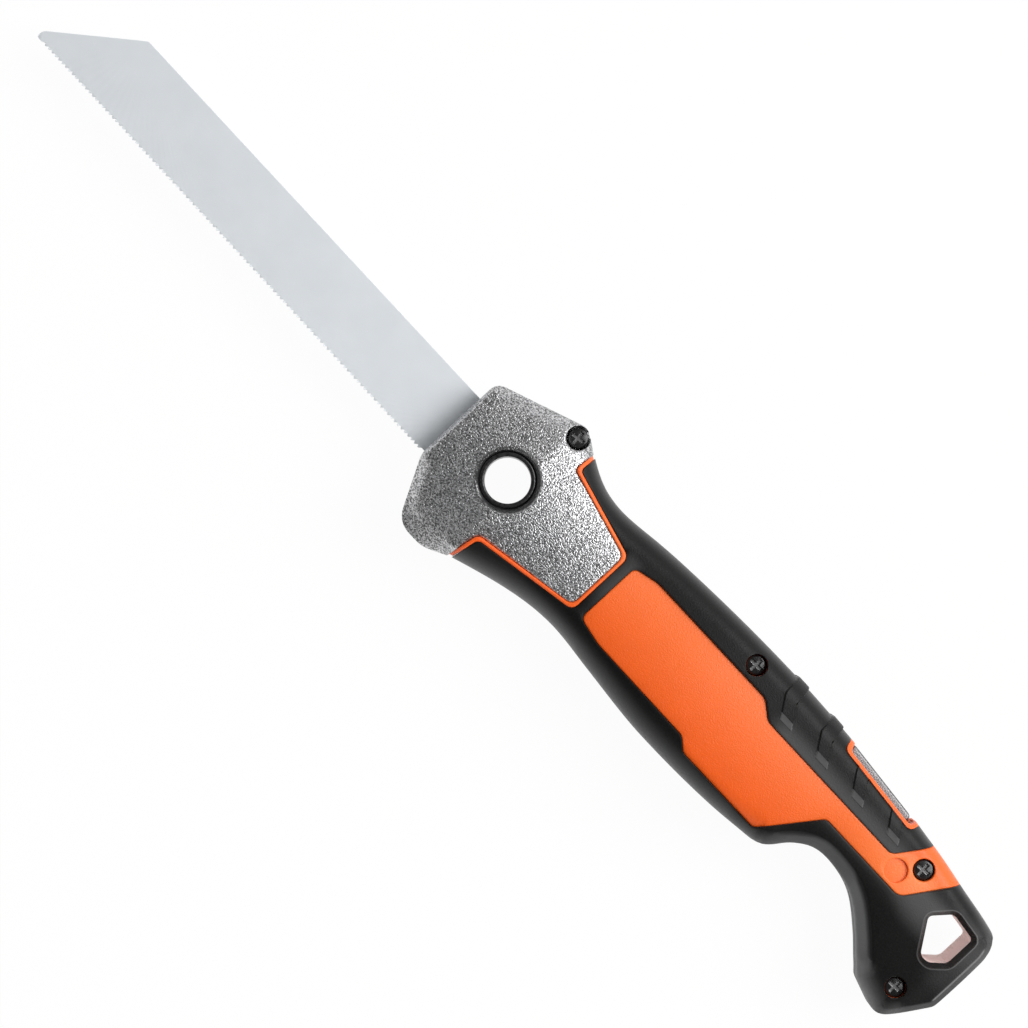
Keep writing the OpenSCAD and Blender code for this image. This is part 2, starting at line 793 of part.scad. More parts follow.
// Coil between the lever and its rib in the hollow, one tube along a helix
module return_spring() {
    steps = 8;
    edges = 6;
    rings = spring_turns * steps;
    rise = (spring_y[1] - spring_y[0] - 2 * spring_wire_r - 0.2) / rings;
    start = spring_y[0] + spring_wire_r + 0.1;
    points = [
        for (i = [0 : rings]) for (j = [0 : edges - 1])
            let (
                turn = i * 360 / steps,
                side = j * 360 / edges,
                r = spring_r + spring_wire_r * cos(side)
            )
            [spring_x + r * cos(turn), start + i * rise + spring_wire_r * sin(side), r * sin(turn)]
    ];
    sides = [
        for (i = [0 : rings - 1]) for (j = [0 : edges - 1])
            let (a = i * edges + j, b = i * edges + (j + 1) % edges)
            each [[a, b, a + edges], [b, b + edges, a + edges]]
    ];
    front = [for (j = [edges - 1 : -1 : 0]) j];
    rear = [for (j = [0 : edges - 1]) rings * edges + j];
    color("silver") polyhedron(points, concat(sides, [front, rear]));
}

module shell_screws() {
    slot = [0.5, 2.5, 0.9];
    color("black") for (s = screws) difference() {
        union() {
            post(s, screw_r, s.z, -screw_reach);
            post(s, screw_head_r, s.z + screw_head_h, s.z);
        }
        for (a = [0, 90]) translate([s.x, s.y, s.z + screw_head_h]) rotate(a)
            cube([slot.x, slot.y, 2 * slot.z], center = true);
    }
}

module hang_hole_sleeve() {
    color("sandybrown") difference() {
        prism(soft(grow(hang_hole, sleeve_wall)), sleeve_top, 0.6 - butt_half_t);
        prism(soft(hang_hole), far, -far);
    }
}

blade();
head_cover_upper();
head_cover_lower();
shell_upper();
shell_lower();
grip_upper();
grip_lower();
guide_plate_upper();
guide_plate_lower();
blade_rail();
mouth_spacer();
plate_rivets();
eyelet();
eyelet_collar();
latch_spring();
latch_rivet();
release_lever();
lever_tab();
tab_rivets();
lever_pivot_pin();
return_spring();
shell_screws();
hang_hole_sleeve();
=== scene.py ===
import json
import math

import bpy
import numpy as np
from mathutils import Matrix, Vector
from mathutils.geometry import delaunay_2d_cdt
from mathutils.kdtree import KDTree


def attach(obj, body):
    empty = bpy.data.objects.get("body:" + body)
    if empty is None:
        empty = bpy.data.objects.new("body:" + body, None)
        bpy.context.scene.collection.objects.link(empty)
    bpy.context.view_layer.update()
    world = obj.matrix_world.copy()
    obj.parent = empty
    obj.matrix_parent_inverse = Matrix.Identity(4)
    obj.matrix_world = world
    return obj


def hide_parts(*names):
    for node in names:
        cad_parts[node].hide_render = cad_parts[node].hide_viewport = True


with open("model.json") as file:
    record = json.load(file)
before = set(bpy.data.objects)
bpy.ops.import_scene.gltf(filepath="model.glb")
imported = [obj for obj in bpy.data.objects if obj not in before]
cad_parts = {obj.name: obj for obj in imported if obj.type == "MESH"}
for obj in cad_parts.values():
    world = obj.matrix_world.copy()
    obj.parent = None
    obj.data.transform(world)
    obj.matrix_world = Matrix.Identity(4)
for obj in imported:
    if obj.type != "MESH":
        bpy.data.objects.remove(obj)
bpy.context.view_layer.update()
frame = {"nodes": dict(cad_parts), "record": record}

# Sizes are in mm, in the frame of the solids, and turn into metres with the meshes
MM = 0.001

# Handle along its length: mm behind the eyelet, half width or half thickness, slope.
# The rows follow the photo and keep within half a millimetre of the solids.
START = -8
BUTT = 143.9
BELLY = np.array([
    (START, 23.9, -0.33), (2, 20.6, -0.33), (13.9, 16.75, -0.29), (29.9, 14.1, 0), (41, 14.95, 0.08),
    (59.7, 16.2, 0), (80, 15.4, -0.085), (89.5, 14.25, -0.13), (93, 13.45, -0.6), (96, 10.3, -1.65),
    (99.4, 6.7, -0.8), (105.4, 4.85, 0), (115.4, 6.82, 0.53), (121.7, 11.37, 0.8), (127.3, 16.3, 0.78),
    (128.7, 17.7, 0.3), (134.6, 19.55, 0.3), (138.45, 18, -1.25), (BUTT, 9.75, -1.56)])
SPINE = np.array([
    (START, 24.7, -0.45), (2, 20.2, -0.45), (9.4, 16.8, -0.55), (16.9, 13.8, -0.18), (21.9, 13.4, 0.03),
    (31, 14.45, 0.13), (39.9, 15.35, 0.075), (73.7, 16.7, 0), (99.5, 15.75, -0.055), (118, 13.75, -0.1),
    (128.7, 12.2, -0.18), (141.2, 10.1, -0.25), (143.2, 7.5, -1.4), (BUTT, 4.8, -3.2)])
THICK = np.array([
    (START, 12, 0), (2, 12, 0), (27.9, 11.4, 0), (59.7, 13, 0), (109.4, 11.4, -0.04), (142.9, 10, 0),
    (BUTT, 10, 0)])

# Head and its cover: heights above the mid plane, and the crease between front and tail
HEAD_FRONT = 16.75
HEAD_TOP = 12.2
HEAD_FRONT_TOP = 9.6
HEAD_WALL = 6.4
HEAD_BEVEL = 2.6
HEAD_CROWN = 1.1
HEAD_HALF = 12
CREASE = -2.2
TAIL_END = -28.65
TAIL_TOP = 11.75
COVER_WALL = 2.6
SHOULDER_BELLY = (-4.3, 12.5)
SHOULDER_SPINE = (-8.1, -12.1)
BELLY_LEAN = 0.17
SPINE_LEAN = 0.085
MOUTH_FRONT = 12
MOUTH_SIDES = (-7.8, 9.5)
MOUTH_HALF = 0.62

# Eyelet, its rolled lip and the dish that the lip sits in
EYELET_R = 5.0
TUBE_R = 5.5
COLLAR_R = 5.52
LIP_R = 6.0
LIP_TOP = 10.6
LIP_LOW = 9.9
LIP_ROUND = 0.3
DISH_DROP = 0.4
DISH_SLOPE = 1.44
DISH_EDGE = (7.05, 7.25)

# Grip, panel and orange line
RIM = 0.85
GRIP_CROWN = 0.8
PANEL_CROWN = 1.3
PANEL_DROP = 0.4
LINE_RISE = 0.2
LINE_TUCK = 0.4
GRIP_WALL = 2.0
SHELL_WALL = 2.4
BUTT_FACET = 1.5
FACET_SOFT = 0.5
BRIDGE = (27, 28.5, 32, 33.5)

# Roundings of the seams: reach inwards and drop
COVER_SEAM = (0.45, 0.45)
LINE_SEAM = (0.46, 0.4)
PANEL_SEAM = (0.26, 0.5)
GRIP_SEAM = (0.22, 0.4)
SCREW_SEAM = (0.1, 0.2)
BRIDGE_SEAM = (1.3, 0.45)

# Ribs of the grip: slanted bars that bend at the spine
RIB_COUNT = 4
RIB_H = 0.45
RIB_PITCH = 11.1
RIB_FIRST = -72.8
RIB_W = 3.6
RIB_SLANT = 3.5
RIB_IN = -7.8
RIB_BEND = -12.65
RIB_RAMP = 1.4
RIB_FRONT_EDGE = 0.3
RIB_REAR_EDGE = 0.16

# Thumb tab and its notch in the spine
TAB_FRONT = 91.8
TAB_REAR = 111.3
TAB_SHOW = 1.75
TAB_SINK = 0.2
TAB_DEPTH = 6.0
TAB_HALF = 4.5
TAB_LOOSE = 0.3
TAB_AFT = 1.2
NOTCH_BACK = 0.6
NOTCH_FLARE = 9
NOTCH_RIM_MORE = 0.4
NOTCH_RIM_SOFT = 1.5

# Screws: x, y and height of the seat, with the room round each head and its turn
SCREWS = [(-3.7, -17.1, 5.4), (-64.65, -12.0, 8.6), (-120.8, -8.45, 7.4), (-135, 12.9, 6.4)]
SCREW_ROOM = [2.65, 2.4, 2.4, 2.4]
SCREW_TURNS = [0.15, 0.0, 0.1, 0.06]
SCREW_NEAR = 3
SCREW_HEAD_R = 2.2
SCREW_R = 1.25
SCREW_H = 1.6
SCREW_END = -7.0
SCREW_POINT = 0.4
SCREW_CROWN = 0.22
SCREW_ROUND = (0.3, 0.35)
CROSS_TOP = (1.6, 0.44)
CROSS_FLOOR = (1.3, 0.27)
CROSS_DEPTH = 0.95

# Orange rings round the screws that sit in the grip
RINGED = (1, 3)
RING_DROP = 2.0
RING_SLOPE = 1.4
RING_FOOT = 0.6
RING_WALL = 0.9
RING_PLAY = 0.02

# Round recess on the band by the butt, and the hole to hang the saw by
RECESS = (-116.7, -4.1, 2.65)
RECESS_DEPTH = 0.85
HANG_CHAMFER = 1.0
SLEEVE_TOP = 7.2
SLEEVE_LOW = -9.4
SLEEVE_WALL = 0.9
SLEEVE_EDGE = 0.2

# Blade
BLADE_REACH = 138.3
BLADE_END = 138.55
BLADE_TAIL = -13.6
BLADE_BACK = -7.6
BLADE_HALF = 0.5
BLADE_EDGE = 0.06
SLANT_START = 121.4
NOSE_SIDE = 7.5
NOSE_REAR = 137.0
TANG_SLOT = 5.55
LATCH_FRONT = 8.1
LATCH_REAR = 4.7
LATCH_FLOOR = -5.7
TOOTH_PITCH = 1.0583
TOOTH_ROOT = 8.8
TOOTH_TIP = 9.35
TOOTH_FIRST = 17.75
TOOTH_FREE = 1.5
TOOTH_SET = 0.16

# The halves meet this far from the mid plane, and are solid this far in from their edge
MEET = 0.06
SOLID_EDGE = 2.0

# An outline that runs off the handle's spine ends here
BEYOND = -30

# Rows of points beside the seams and edges, as distances from them
RIB_STEPS = (0.08, 0.16, 0.3, 0.45)
SEAM_STEPS = (0.07, 0.17, 0.33, 0.55, 0.85)
HANG_STEPS = (0.4, 0.7, 0.94, 1.0, 1.08, 1.2, 1.35)
FACET_STEPS = (1.1, 1.25, 1.4, 1.5, 1.6, 1.75, 1.9)
BAND_STEPS = (2.5, 2.65, 2.8, 2.9, 3.0, 3.15)
COVER_STEPS = (0.12, 0.3, 0.6, 1.0, 1.5, 2.1, 2.8, 3.5)
RECESS_STEPS = (-0.06, -0.12, 0.1)
DISH_RADII = (6.2, 6.5, 6.9, 7.1, 7.3, 7.5, 7.9)
EDGE_ANGLES = (8, 16, 24, 32, 40, 48, 56, 64, 72, 82)


def curve(rows, u):
    """Smooth curve through rows of place, value and slope."""
    u = np.asarray(u, float)
    i = np.clip(np.searchsorted(rows[:, 0], u, side="right") - 1, 0, len(rows) - 2)
    a, b = rows[i], rows[i + 1]
    h = b[..., 0] - a[..., 0]
    t = (u - a[..., 0]) / h
    return ((2 * t**3 - 3 * t**2 + 1) * a[..., 1] + (t**3 - 2 * t**2 + t) * h * a[..., 2]
            + (3 * t**2 - 2 * t**3) * b[..., 1] + (t**3 - t**2) * h * b[..., 2])


def spine_at(u):
    return float(curve(SPINE, u))


# Outlines in plan

def columns(x, y):
    return np.stack([x, y], axis=1)


def soft(rows, steps=8):
    """Closed outline from corners of x, y and the size of each corner's rounding."""
    rows = np.array(rows, float)
    out = []
    n = len(rows)
    for i in range(n):
        p, size = rows[i, :2], rows[i, 2]
        if size == 0:
            out.append(p)
            continue
        a, b = rows[i - 1, :2] - p, rows[(i + 1) % n, :2] - p
        a = p + size * a / np.linalg.norm(a)
        b = p + size * b / np.linalg.norm(b)
        for t in np.linspace(0, 1, steps + 1):
            out.append((1 - t)**2 * a + 2 * t * (1 - t) * p + t**2 * b)
    return np.array(out)


def signed_area(poly):
    """Twice the area of a closed outline, below 0 where it runs clockwise."""
    return (poly[:, 0] * np.roll(poly[:, 1], -1) - np.roll(poly[:, 0], -1) * poly[:, 1]).sum()


def grow(rows, d):
    """Corners of an outline moved out by d."""
    rows = np.array(rows, float)
    n = len(rows)
    side = 1 if signed_area(rows) > 0 else -1
    out = []
    for i in range(n):
        p = rows[i, :2]
        e = p - rows[i - 1, :2]
        f = rows[(i + 1) % n, :2] - p
        e, f = e / np.linalg.norm(e), f / np.linalg.norm(f)
        m, k = side * np.array([e[1], -e[0]]), side * np.array([f[1], -f[0]])
        q = p + d * (m + k) / (1 + m @ k)
        out.append((q[0], q[1], rows[i, 2]))
    return out


def fine(poly, gap=0.35):
    """Closed outline with points added so that none are further apart than a gap."""
    out = []
    for a, b in zip(poly, np.roll(poly, -1, axis=0)):
        n = max(1, math.ceil(np.linalg.norm(b - a) / gap))
        out += [a + (b - a) * k / n for k in range(n)]
    return np.array(out)


def even(poly, gap):
    """Closed outline with its points spread evenly."""
    closed = np.vstack([poly, poly[:1]])
    run = np.concatenate([[0], np.cumsum(np.linalg.norm(np.diff(closed, axis=0), axis=1))])
    n = int(round(run[-1] / gap))
    s = np.arange(n) * run[-1] / n
    return columns(*[np.interp(s, run, closed[:, k]) for k in (0, 1)])


def circle(x, y, r, n=64):
    a = np.arange(n) * 2 * math.pi / n
    return columns(x + r * np.cos(a), y + r * np.sin(a))


def inside(p, poly):
    x, y = p[:, 0], p[:, 1]
    hit = np.zeros(len(p), bool)
    for a, b in zip(poly, np.roll(poly, -1, axis=0)):
        if a[1] == b[1]:
            continue
        cross = (a[1] > y) != (b[1] > y)
        hit ^= cross & (x < (b[0] - a[0]) * (y - a[1]) / (b[1] - a[1]) + a[0])
    return hit


FEW_SEGMENTS = 60
CANDIDATES = 5


def near(p, a, b):
    """Distance from points to segments, and which segment is nearest."""
    if len(p) == 0:
        return np.zeros(0), np.zeros(0, int)
    ab = b - a
    square = np.maximum((ab**2).sum(1), 1e-12)
    if len(a) > FEW_SEGMENTS:
        tree = KDTree(len(a))
        for i, m in enumerate((a + b) / 2):
            tree.insert((m[0], m[1], 0), i)
        tree.balance()
        pick = np.array([[i for _, i, _ in tree.find_n((q[0], q[1], 0), CANDIDATES)] for q in p])
    else:
        pick = np.tile(np.arange(len(a)), (len(p), 1))
    va, vb = a[pick], ab[pick]
    t = np.clip(((p[:, None] - va) * vb).sum(2) / square[pick], 0, 1)
    gap = np.linalg.norm(p[:, None] - (va + t[..., None] * vb), axis=2)
    best = gap.argmin(1)
    rows = np.arange(len(p))
    return gap[rows, best], pick[rows, best]


def loop_near(p, poly):
    return near(p, poly, np.roll(poly, -1, axis=0))


def shifted(poly, d):
    """Closed outline moved sideways by d, one distance or one for each point."""
    e = np.roll(poly, -1, axis=0) - np.roll(poly, 1, axis=0)
    e /= np.linalg.norm(e, axis=1)[:, None]
    return poly + np.reshape(d, (-1, 1)) * columns(e[:, 1], -e[:, 0])


def both_sides(poly, d):
    return np.vstack([shifted(poly, d), shifted(poly, -d)])


def smoothed(values, turns):
    """Values along a closed loop, each averaged with its neighbours again and again."""
    for _ in range(turns):
        values = (np.roll(values, 1, axis=0) + 2 * values + np.roll(values, -1, axis=0)) / 4
    return values


def handle_outline():
    """Outline of the handle, smoothed in the finger notch and a little at the butt."""
    u = np.append(np.arange(START, BUTT, 0.35), BUTT)
    spine = columns(-u, -curve(SPINE, u))
    belly = columns(-u, curve(BELLY, u))[::-1]
    line = even(np.vstack([spine, belly]), 0.4)
    finger_front, finger_rear = -88, -124
    notch_turns, butt_turns = 10, 4
    notch = (line[:, 0] < finger_front) & (line[:, 0] > finger_rear) & (line[:, 1] > 2)
    for turn in range(notch_turns):
        soft_part = notch | (line[:, 0] < finger_rear) & (turn < butt_turns)
        line[soft_part] = smoothed(line, 1)[soft_part]
    return line


# Corners of the outlines: x, y and the size of the rounding
COVER_ROWS = [
    (HEAD_FRONT, -12.4, 2.2), (HEAD_FRONT, 9.4, 1.6), (9.35, 23.1, 3.4), (2.15, 23.1, 2),
    (-2.97, 20.36, 0), (*SHOULDER_BELLY, 1.2), (TAIL_END, 8, 1.8), (TAIL_END, -6.9, 1.8),
    (*SHOULDER_SPINE, 1.2), (-8.52, -17.1, 0), (-3.7, -20.2, 1.7)]
PANEL_ROWS = [
    (-31.95, -7.1, 1.6), (-31.95, 8.5, 1.6), (-38.45, 9.7, 1), (-64.7, 9.8, 0.8), (-67.6, 12.1, 0.8),
    (-89.4, 12.1, 0.8), (-98.65, -0.6, 0.8), (-121.1, -0.65, 1.6), (-140.95, BEYOND, 0),
    (-130.45, BEYOND, 0), (-113.4, -5.7, 1.2), (-75, -5.7, 1), (-71.1, -8.6, 1), (-37.95, -8.6, 1)]
HANG_ROWS = [
    (-132.4, -6.8, 1), (-128.9, -2.6, 1), (-133.8, 4.3, 1), (-136, 4.3, 1), (-139, 1.3, 1), (-139, -6, 1)]
NOTCH_ROWS = [
    (-(TAB_REAR + NOTCH_FLARE), BEYOND, 0), (-(TAB_FRONT - TAB_LOOSE), BEYOND, 0),
    (-(TAB_FRONT - TAB_LOOSE), TAB_SHOW - spine_at(TAB_FRONT), 1.1),
    (-(TAB_REAR + NOTCH_BACK), TAB_SHOW - spine_at(TAB_REAR), 0.8)]
NOTCH_RIM_ROWS = [
    (x + NOTCH_RIM_MORE * (x > -TAB_FRONT), y, NOTCH_RIM_SOFT * size)
    for x, y, size in grow(NOTCH_ROWS, RIM)]


def rib_rows(k):
    x = RIB_FIRST - k * RIB_PITCH
    bend_soft = 0.8
    return [
        (x - RIB_SLANT, RIB_IN, 0), (x - RIB_SLANT - RIB_W, RIB_IN, 0), (x - RIB_W, RIB_BEND, bend_soft),
        (x - RIB_W + 0.6, BEYOND, 0), (x + 0.4, BEYOND, 0), (x, RIB_BEND, bend_soft)]


OUTLINE = handle_outline()
COVER = fine(soft(COVER_ROWS))
COVER_RIM = fine(soft(grow(COVER_ROWS, RIM)))
PANEL = fine(soft(PANEL_ROWS))
HANG = fine(soft(HANG_ROWS))
NOTCH = fine(soft(NOTCH_ROWS))
NOTCH_RIM = fine(soft(NOTCH_RIM_ROWS))
RIBS = [fine(soft(rib_rows(k), 4)) for k in range(RIB_COUNT)]
EYE = circle(0, 0, LIP_R + 0.05, 128)
HOLES = [circle(s[0], s[1], r, 48) for s, r in zip(SCREWS, SCREW_ROOM)]
DISC = circle(*RECESS)

# Kinds of plan that a triangle can belong to
NONE, COVERED, LINE, TAB_LINE, PANELLED, GRIPPED, HOLE, NOTCHED = range(8)


# Values that change along an outline

def zoned(loop, zones, turns):
    """Values along a loop: later zones override earlier ones, then each value is smoothed."""
    values = np.zeros((len(turns), len(loop)))
    for where, *sizes in zones:
        values[:, where] = np.array(sizes)[:, None]
    return [smoothed(row, n) for row, n in zip(values, turns)]


# Stretches of the handle's outline, by how far behind the eyelet they are
BACK = -OUTLINE[:, 0]
AT_BELLY = OUTLINE[:, 1] > 0
AT_SPINE = ~AT_BELLY
AT_BUTT = (BACK > 141.4) | AT_BELLY & (BACK > 136.2)
AT_TOE = AT_BELLY & (BACK > 136.2) & (OUTLINE[:, 1] > 15.5)
AT_NOTCH = AT_BELLY & (BACK > 96) & (BACK < 126)

# Rounding of the handle's edge: reach inwards, height and fullness. The butt has a flat facet.
EDGE_W, EDGE_H, EDGE_P = zoned(OUTLINE, [
    (AT_BELLY, 6.0, 8.0, 2.0),
    (AT_SPINE, 4.5, 6.0, 2.0),
    (AT_BELLY & (BACK > 93) & (BACK < 128), 3.0, 4.6, 1.16),
    (AT_BELLY & (BACK >= 128), 3.2, 5.0, 1.5),
    (AT_SPINE & (BACK > 112), 3.6, 5.5, 2.0),
    (AT_BUTT, BUTT_FACET, 2.4, 1.06)], (9, 9, 4))
EDGE_FLAT = smoothed(1.0 * AT_BUTT, 6)

# Painted highlight on the grip, for the sheen of its rounded edges: strength at the edge and reach
# inwards. A flat stretch has an even band.
HIGHLIGHT_PEAK, HIGHLIGHT_REACH = zoned(OUTLINE, [
    (AT_BELLY, 0.68, 4.3),
    (AT_BELLY & (BACK < 36), 0.85, 4.1),
    (AT_SPINE, 0.38, 2.5),
    (AT_SPINE & (BACK > 118), 0.34, 1.9),
    (AT_BELLY & (BACK >= 126), 1.4, 4.7),
    (AT_BELLY & (BACK > 84) & (BACK < 96), 0.45, 3.6),
    (AT_NOTCH, 0.58, 3.0),
    (AT_NOTCH & (BACK < 101), 0.42, 2.3),
    (AT_NOTCH & (BACK > 112), 0.86, 2.3),
    (AT_BUTT, 0.06, 1.5),
    (AT_TOE, 0.5, 4.2)], (12, 12))
HIGHLIGHT_FLAT = smoothed(1.0 * (AT_NOTCH | AT_BUTT & ~AT_TOE), 60)

# Rounding of the head's free edge: reach inwards and fullness
COVER_W, COVER_P = zoned(COVER, [
    (COVER[:, 1] > 0, 2.3, 1.12),
    (COVER[:, 1] <= 0, 3.8, 1.8),
    (COVER[:, 1] > 20.5, 5.0, 1.7),
    (COVER[:, 0] > HEAD_FRONT - 0.5, 1.0, 1.8)], (12, 12))


# Heights of the surfaces

def step(v, a, b):
    """Rises smoothly from 0 at a to 1 at b."""
    t = np.clip((v - a) / (b - a), 0, 1)
    return t * t * (3 - 2 * t)


def window(v, a, b, c, d):
    """Rises from 0 to 1 between a and b, and falls again between c and d."""
    return step(v, a, b) * (1 - step(v, c, d))


def bell(v, middle, width):
    return np.exp(-((v - middle) / width)**2)


def least(a, b, k):
    """The lesser of two values, with the change between them rounded over k."""
    h = np.clip(0.5 + 0.5 * (b - a) / k, 0, 1)
    return b + (a - b) * h - k * h * (1 - h)


def rolled(d, r, h):
    """Drop of an edge rounded over r inwards and h down, at distance d from the edge."""
    e = np.clip(1 - d / r, 0, 1)
    return h * (1 - np.sqrt(np.maximum(1 - e**2, 0)))


def full_edge(d, w, p):
    """Share of an edge's height that its rounding drops at distance d, with fullness p."""
    e = np.clip(1 - d / w, 0, 1)
    return 1 - np.maximum(1 - e**p, 0)**(1 / p)


def across(p):
    """Half widths of the handle at points: to the spine, to the belly, and half thickness."""
    u = np.clip(-p[:, 0], START, BUTT)
    return curve(SPINE, u), curve(BELLY, u), curve(THICK, u)


def off_middle(p):
    """Squared place across the handle, 0 in its middle and 1 at its edges."""
    spine, belly, _ = across(p)
    return ((2 * p[:, 1] + spine - belly) / (spine + belly))**2


def handle_top(p):
    """Height of the handle's surface, with the distance to its outline and the place along it."""
    d, k = loop_near(p, OUTLINE)
    w, h, flat = EDGE_W[k], EDGE_H[k], EDGE_FLAT[k]
    full = h * full_edge(d, w, EDGE_P[k])
    facet = -least(-h * (1 - d / w), 0 * d, FACET_SOFT)
    return across(p)[2] - GRIP_CROWN * off_middle(p) - full * (1 - flat) - facet * flat, d, k


def rib_ramp(p):
    return np.clip((RIB_IN - p[:, 1]) / RIB_RAMP, 0, 1)


def rib_lift(p):
    """How far the ribs lift the grip, from 0 to 1, with steep sides and a ramp at the inner end."""
    lift = np.zeros(len(p))
    for k, poly in enumerate(RIBS):
        within = inside(p, poly)
        q = p[within]
        rows = np.array(rib_rows(k))[:, :2]
        front, rear = rows[[0, 5, 4]], rows[[1, 2, 3]]
        to_front = near(q, front[:-1], front[1:])[0]
        to_rear = near(q, rear[:-1], rear[1:])[0]
        lift[within] = step(to_front, 0, RIB_FRONT_EDGE) * step(to_rear, 0, RIB_REAR_EDGE) * rib_ramp(q)
    return lift


def cover_top(p, edge):
    """Height of the head's cover: two slopes with a crease, a rounded edge and the eyelet's dish."""
    x, y = p[:, 0], p[:, 1]
    k = loop_near(p, COVER)[1]
    tail = HEAD_TOP + (TAIL_TOP - HEAD_TOP) * (CREASE - x) / (CREASE - TAIL_END)
    front = HEAD_TOP - (HEAD_TOP - HEAD_FRONT_TOP) * (x - CREASE) / (HEAD_FRONT - HEAD_BEVEL - CREASE)
    top = least(tail, front, 0.05) - HEAD_CROWN * (y / HEAD_HALF)**2
    z = top - (top - HEAD_WALL) * full_edge(edge, COVER_W[k], COVER_P[k])
    dish = LIP_TOP - DISH_DROP + (np.hypot(x, y) - LIP_R) * DISH_SLOPE
    return least(z, dish, 0.1)


# Painted light and shade, and other marks, that the materials read, from 0 to about 1

def painted_highlights(p):
    """Painted highlight on the grip: along its edges, on its crest and on the ramps of the ribs, with thin
    painted highlight lines on the butt's ridge and round the hanging hole.
    """
    back, side = -p[:, 0], p[:, 1]
    d, k = loop_near(p, OUTLINE)
    reach, flat = HIGHLIGHT_REACH[k], HIGHLIGHT_FLAT[k]
    band_start = np.where(reach < 2, 0.88, 0.64)
    band = 1 - step(d / np.minimum(reach, 3.0), band_start, 1.06)
    fading = (1 - np.clip(d / reach, 0, 1))**2
    painted_highlight = HIGHLIGHT_PEAK[k] * (flat * band + (1 - flat) * fading)
    # Thin painted highlight lines on the butt's ridge and round the hanging hole's chamfer
    butt_ridge = flat * step(back, 140, 141) * window(side, -7, -5.5, 8.5, 9.5) * bell(d, BUTT_FACET, 0.17)
    hang_ridge = bell(loop_near(p, HANG)[0], HANG_CHAMFER + 0.14, 0.1)
    painted_highlight = np.maximum(np.maximum(painted_highlight, 1.3 * butt_ridge), 0.65 * hang_ridge)
    # Painted highlight: a little by the butt, more on the bridge and most along the crest
    by_butt = step(back, 134, 139) * (1 - step(side, 4, 9))
    bridge = window(back, 28, 29.3, 32.3, 34) * window(side, -9.6, -7, -1, 6)
    rear = step(back, 118, 126)
    crest = window(side, -10.5 + 2.5 * rear, -6.3 + 1.6 * rear, -3, 1.2 + 2.8 * rear)
    crest = crest * step(back, 74, 80) * (1 - 0.6 * step(back, 132, 138))
    painted_highlight = painted_highlight + 0.1 * by_butt + 0.2 * bridge + 0.35 * crest
    # Ramps of the ribs painted pale, as if lit
    ramp = rib_ramp(p)
    for poly in RIBS:
        painted_highlight = np.where(inside(p, poly), 0.62 * window(ramp, 0, 0.06, 0.9, 1.0), painted_highlight)
    return painted_highlight


def painted_shade(p):
    """Painted shade on the grip, by less reflection: in the hanging hole's chamfer, and on the faces
    towards the belly that turn from the light.
    """
    back, side = -p[:, 0], p[:, 1]
    hole = 1 - step(loop_near(p, HANG)[0], HANG_CHAMFER - 0.15, HANG_CHAMFER)
    rear = window(back, 90, 96, 136, 140) * step(side, -0.5, 3.5)
    front = (1 - step(back, 90, 96)) * window(side, 7.5, 9, 10.5, 13)
    return np.maximum(hole, 0.65 * np.maximum(rear, front))


def paler_orange(p):
    """How pale the orange is: towards the spine, a painted sheen from the light on that side, and more so
    by the butt.
    """
    back, side = -p[:, 0], p[:, 1]
    towards_spine = np.clip((12 - side) / 18, 0, 1) * (1 - 0.6 * step(-side, 8.8, 11))
    by_butt = step(back, 98, 120) * (1 - step(-side, 6, 10))
    return 0.36 * towards_spine + 0.3 * by_butt


def dished(p):
    return 1 - step(np.hypot(p[:, 0], p[:, 1]), *DISH_EDGE)


# One triangulation of the plan that every half piece is cut from

def inset(poly, d, some=slice(None), slack=0.02):
    """Points of an outline moved in by d, without those that come too near to it elsewhere."""
    d = np.broadcast_to(d, len(poly))
    kept = []
    for way in (1, -1):
        q, deep = shifted(poly, way * d)[some], d[some]
        within = inside(q, poly)
        q, deep = q[within], deep[within]
        kept.append(q[loop_near(q, poly)[0] > deep - slack])
    return np.vstack(kept)


def ramp_ends():
    """Points along the upper end of each rib's ramp."""
    ends = []
    for k in range(RIB_COUNT):
        x = RIB_FIRST - k * RIB_PITCH - RIB_SLANT - RIB_W
        run = np.arange(x, x + RIB_W + RIB_SLANT, 0.15)
        for d in (-0.1, 0, 0.1):
            ends.append(columns(run, np.full(len(run), RIB_IN - RIB_RAMP + d)))
    return ends


def grid(gap_x=0.95, gap_y=0.85):
    """Points in staggered rows over the whole plan."""
    x, y = np.meshgrid(np.arange(-146, 19, gap_x), np.arange(-22, 25, gap_y))
    x = x + gap_x / 2 * (np.arange(len(x)) % 2)[:, None]
    return columns(x.ravel(), y.ravel())


def plan_points():
    """Points where the surfaces bend, in sets with the least gap that each set keeps."""
    seams = [COVER, COVER_RIM, PANEL, HANG, NOTCH, NOTCH_RIM] + HOLES
    sets = [(np.vstack([both_sides(q, d) for d in RIB_STEPS]), 0.04) for q in RIBS]
    sets += [(q, 0.05) for q in ramp_ends()]
    sets += [(both_sides(q, d), 0.05) for d in SEAM_STEPS for q in seams]
    sets += [(both_sides(HANG, d), 0.05) for d in HANG_STEPS]
    sets += [(inset(OUTLINE, d, EDGE_FLAT > 0.02, math.inf), 0.07) for d in FACET_STEPS]
    sets += [(inset(OUTLINE, d, HIGHLIGHT_FLAT > 0.3), 0.08) for d in BAND_STEPS]
    sets += [(circle(0, 0, r, 128), 0.1) for r in DISH_RADII]
    sets += [(circle(RECESS[0], RECESS[1], RECESS[2] + d), 0.05) for d in RECESS_STEPS]
    sets += [(inset(OUTLINE, EDGE_W * (1 - np.cos(a))), 0.16) for a in np.radians(EDGE_ANGLES)]
    sets += [(inset(COVER, d), 0.12) for d in COVER_STEPS]
    sets.append((grid(), 0.4))
    return np.vstack([q for q, _ in sets]), np.concatenate([np.full(len(q), gap) for q, gap in sets])


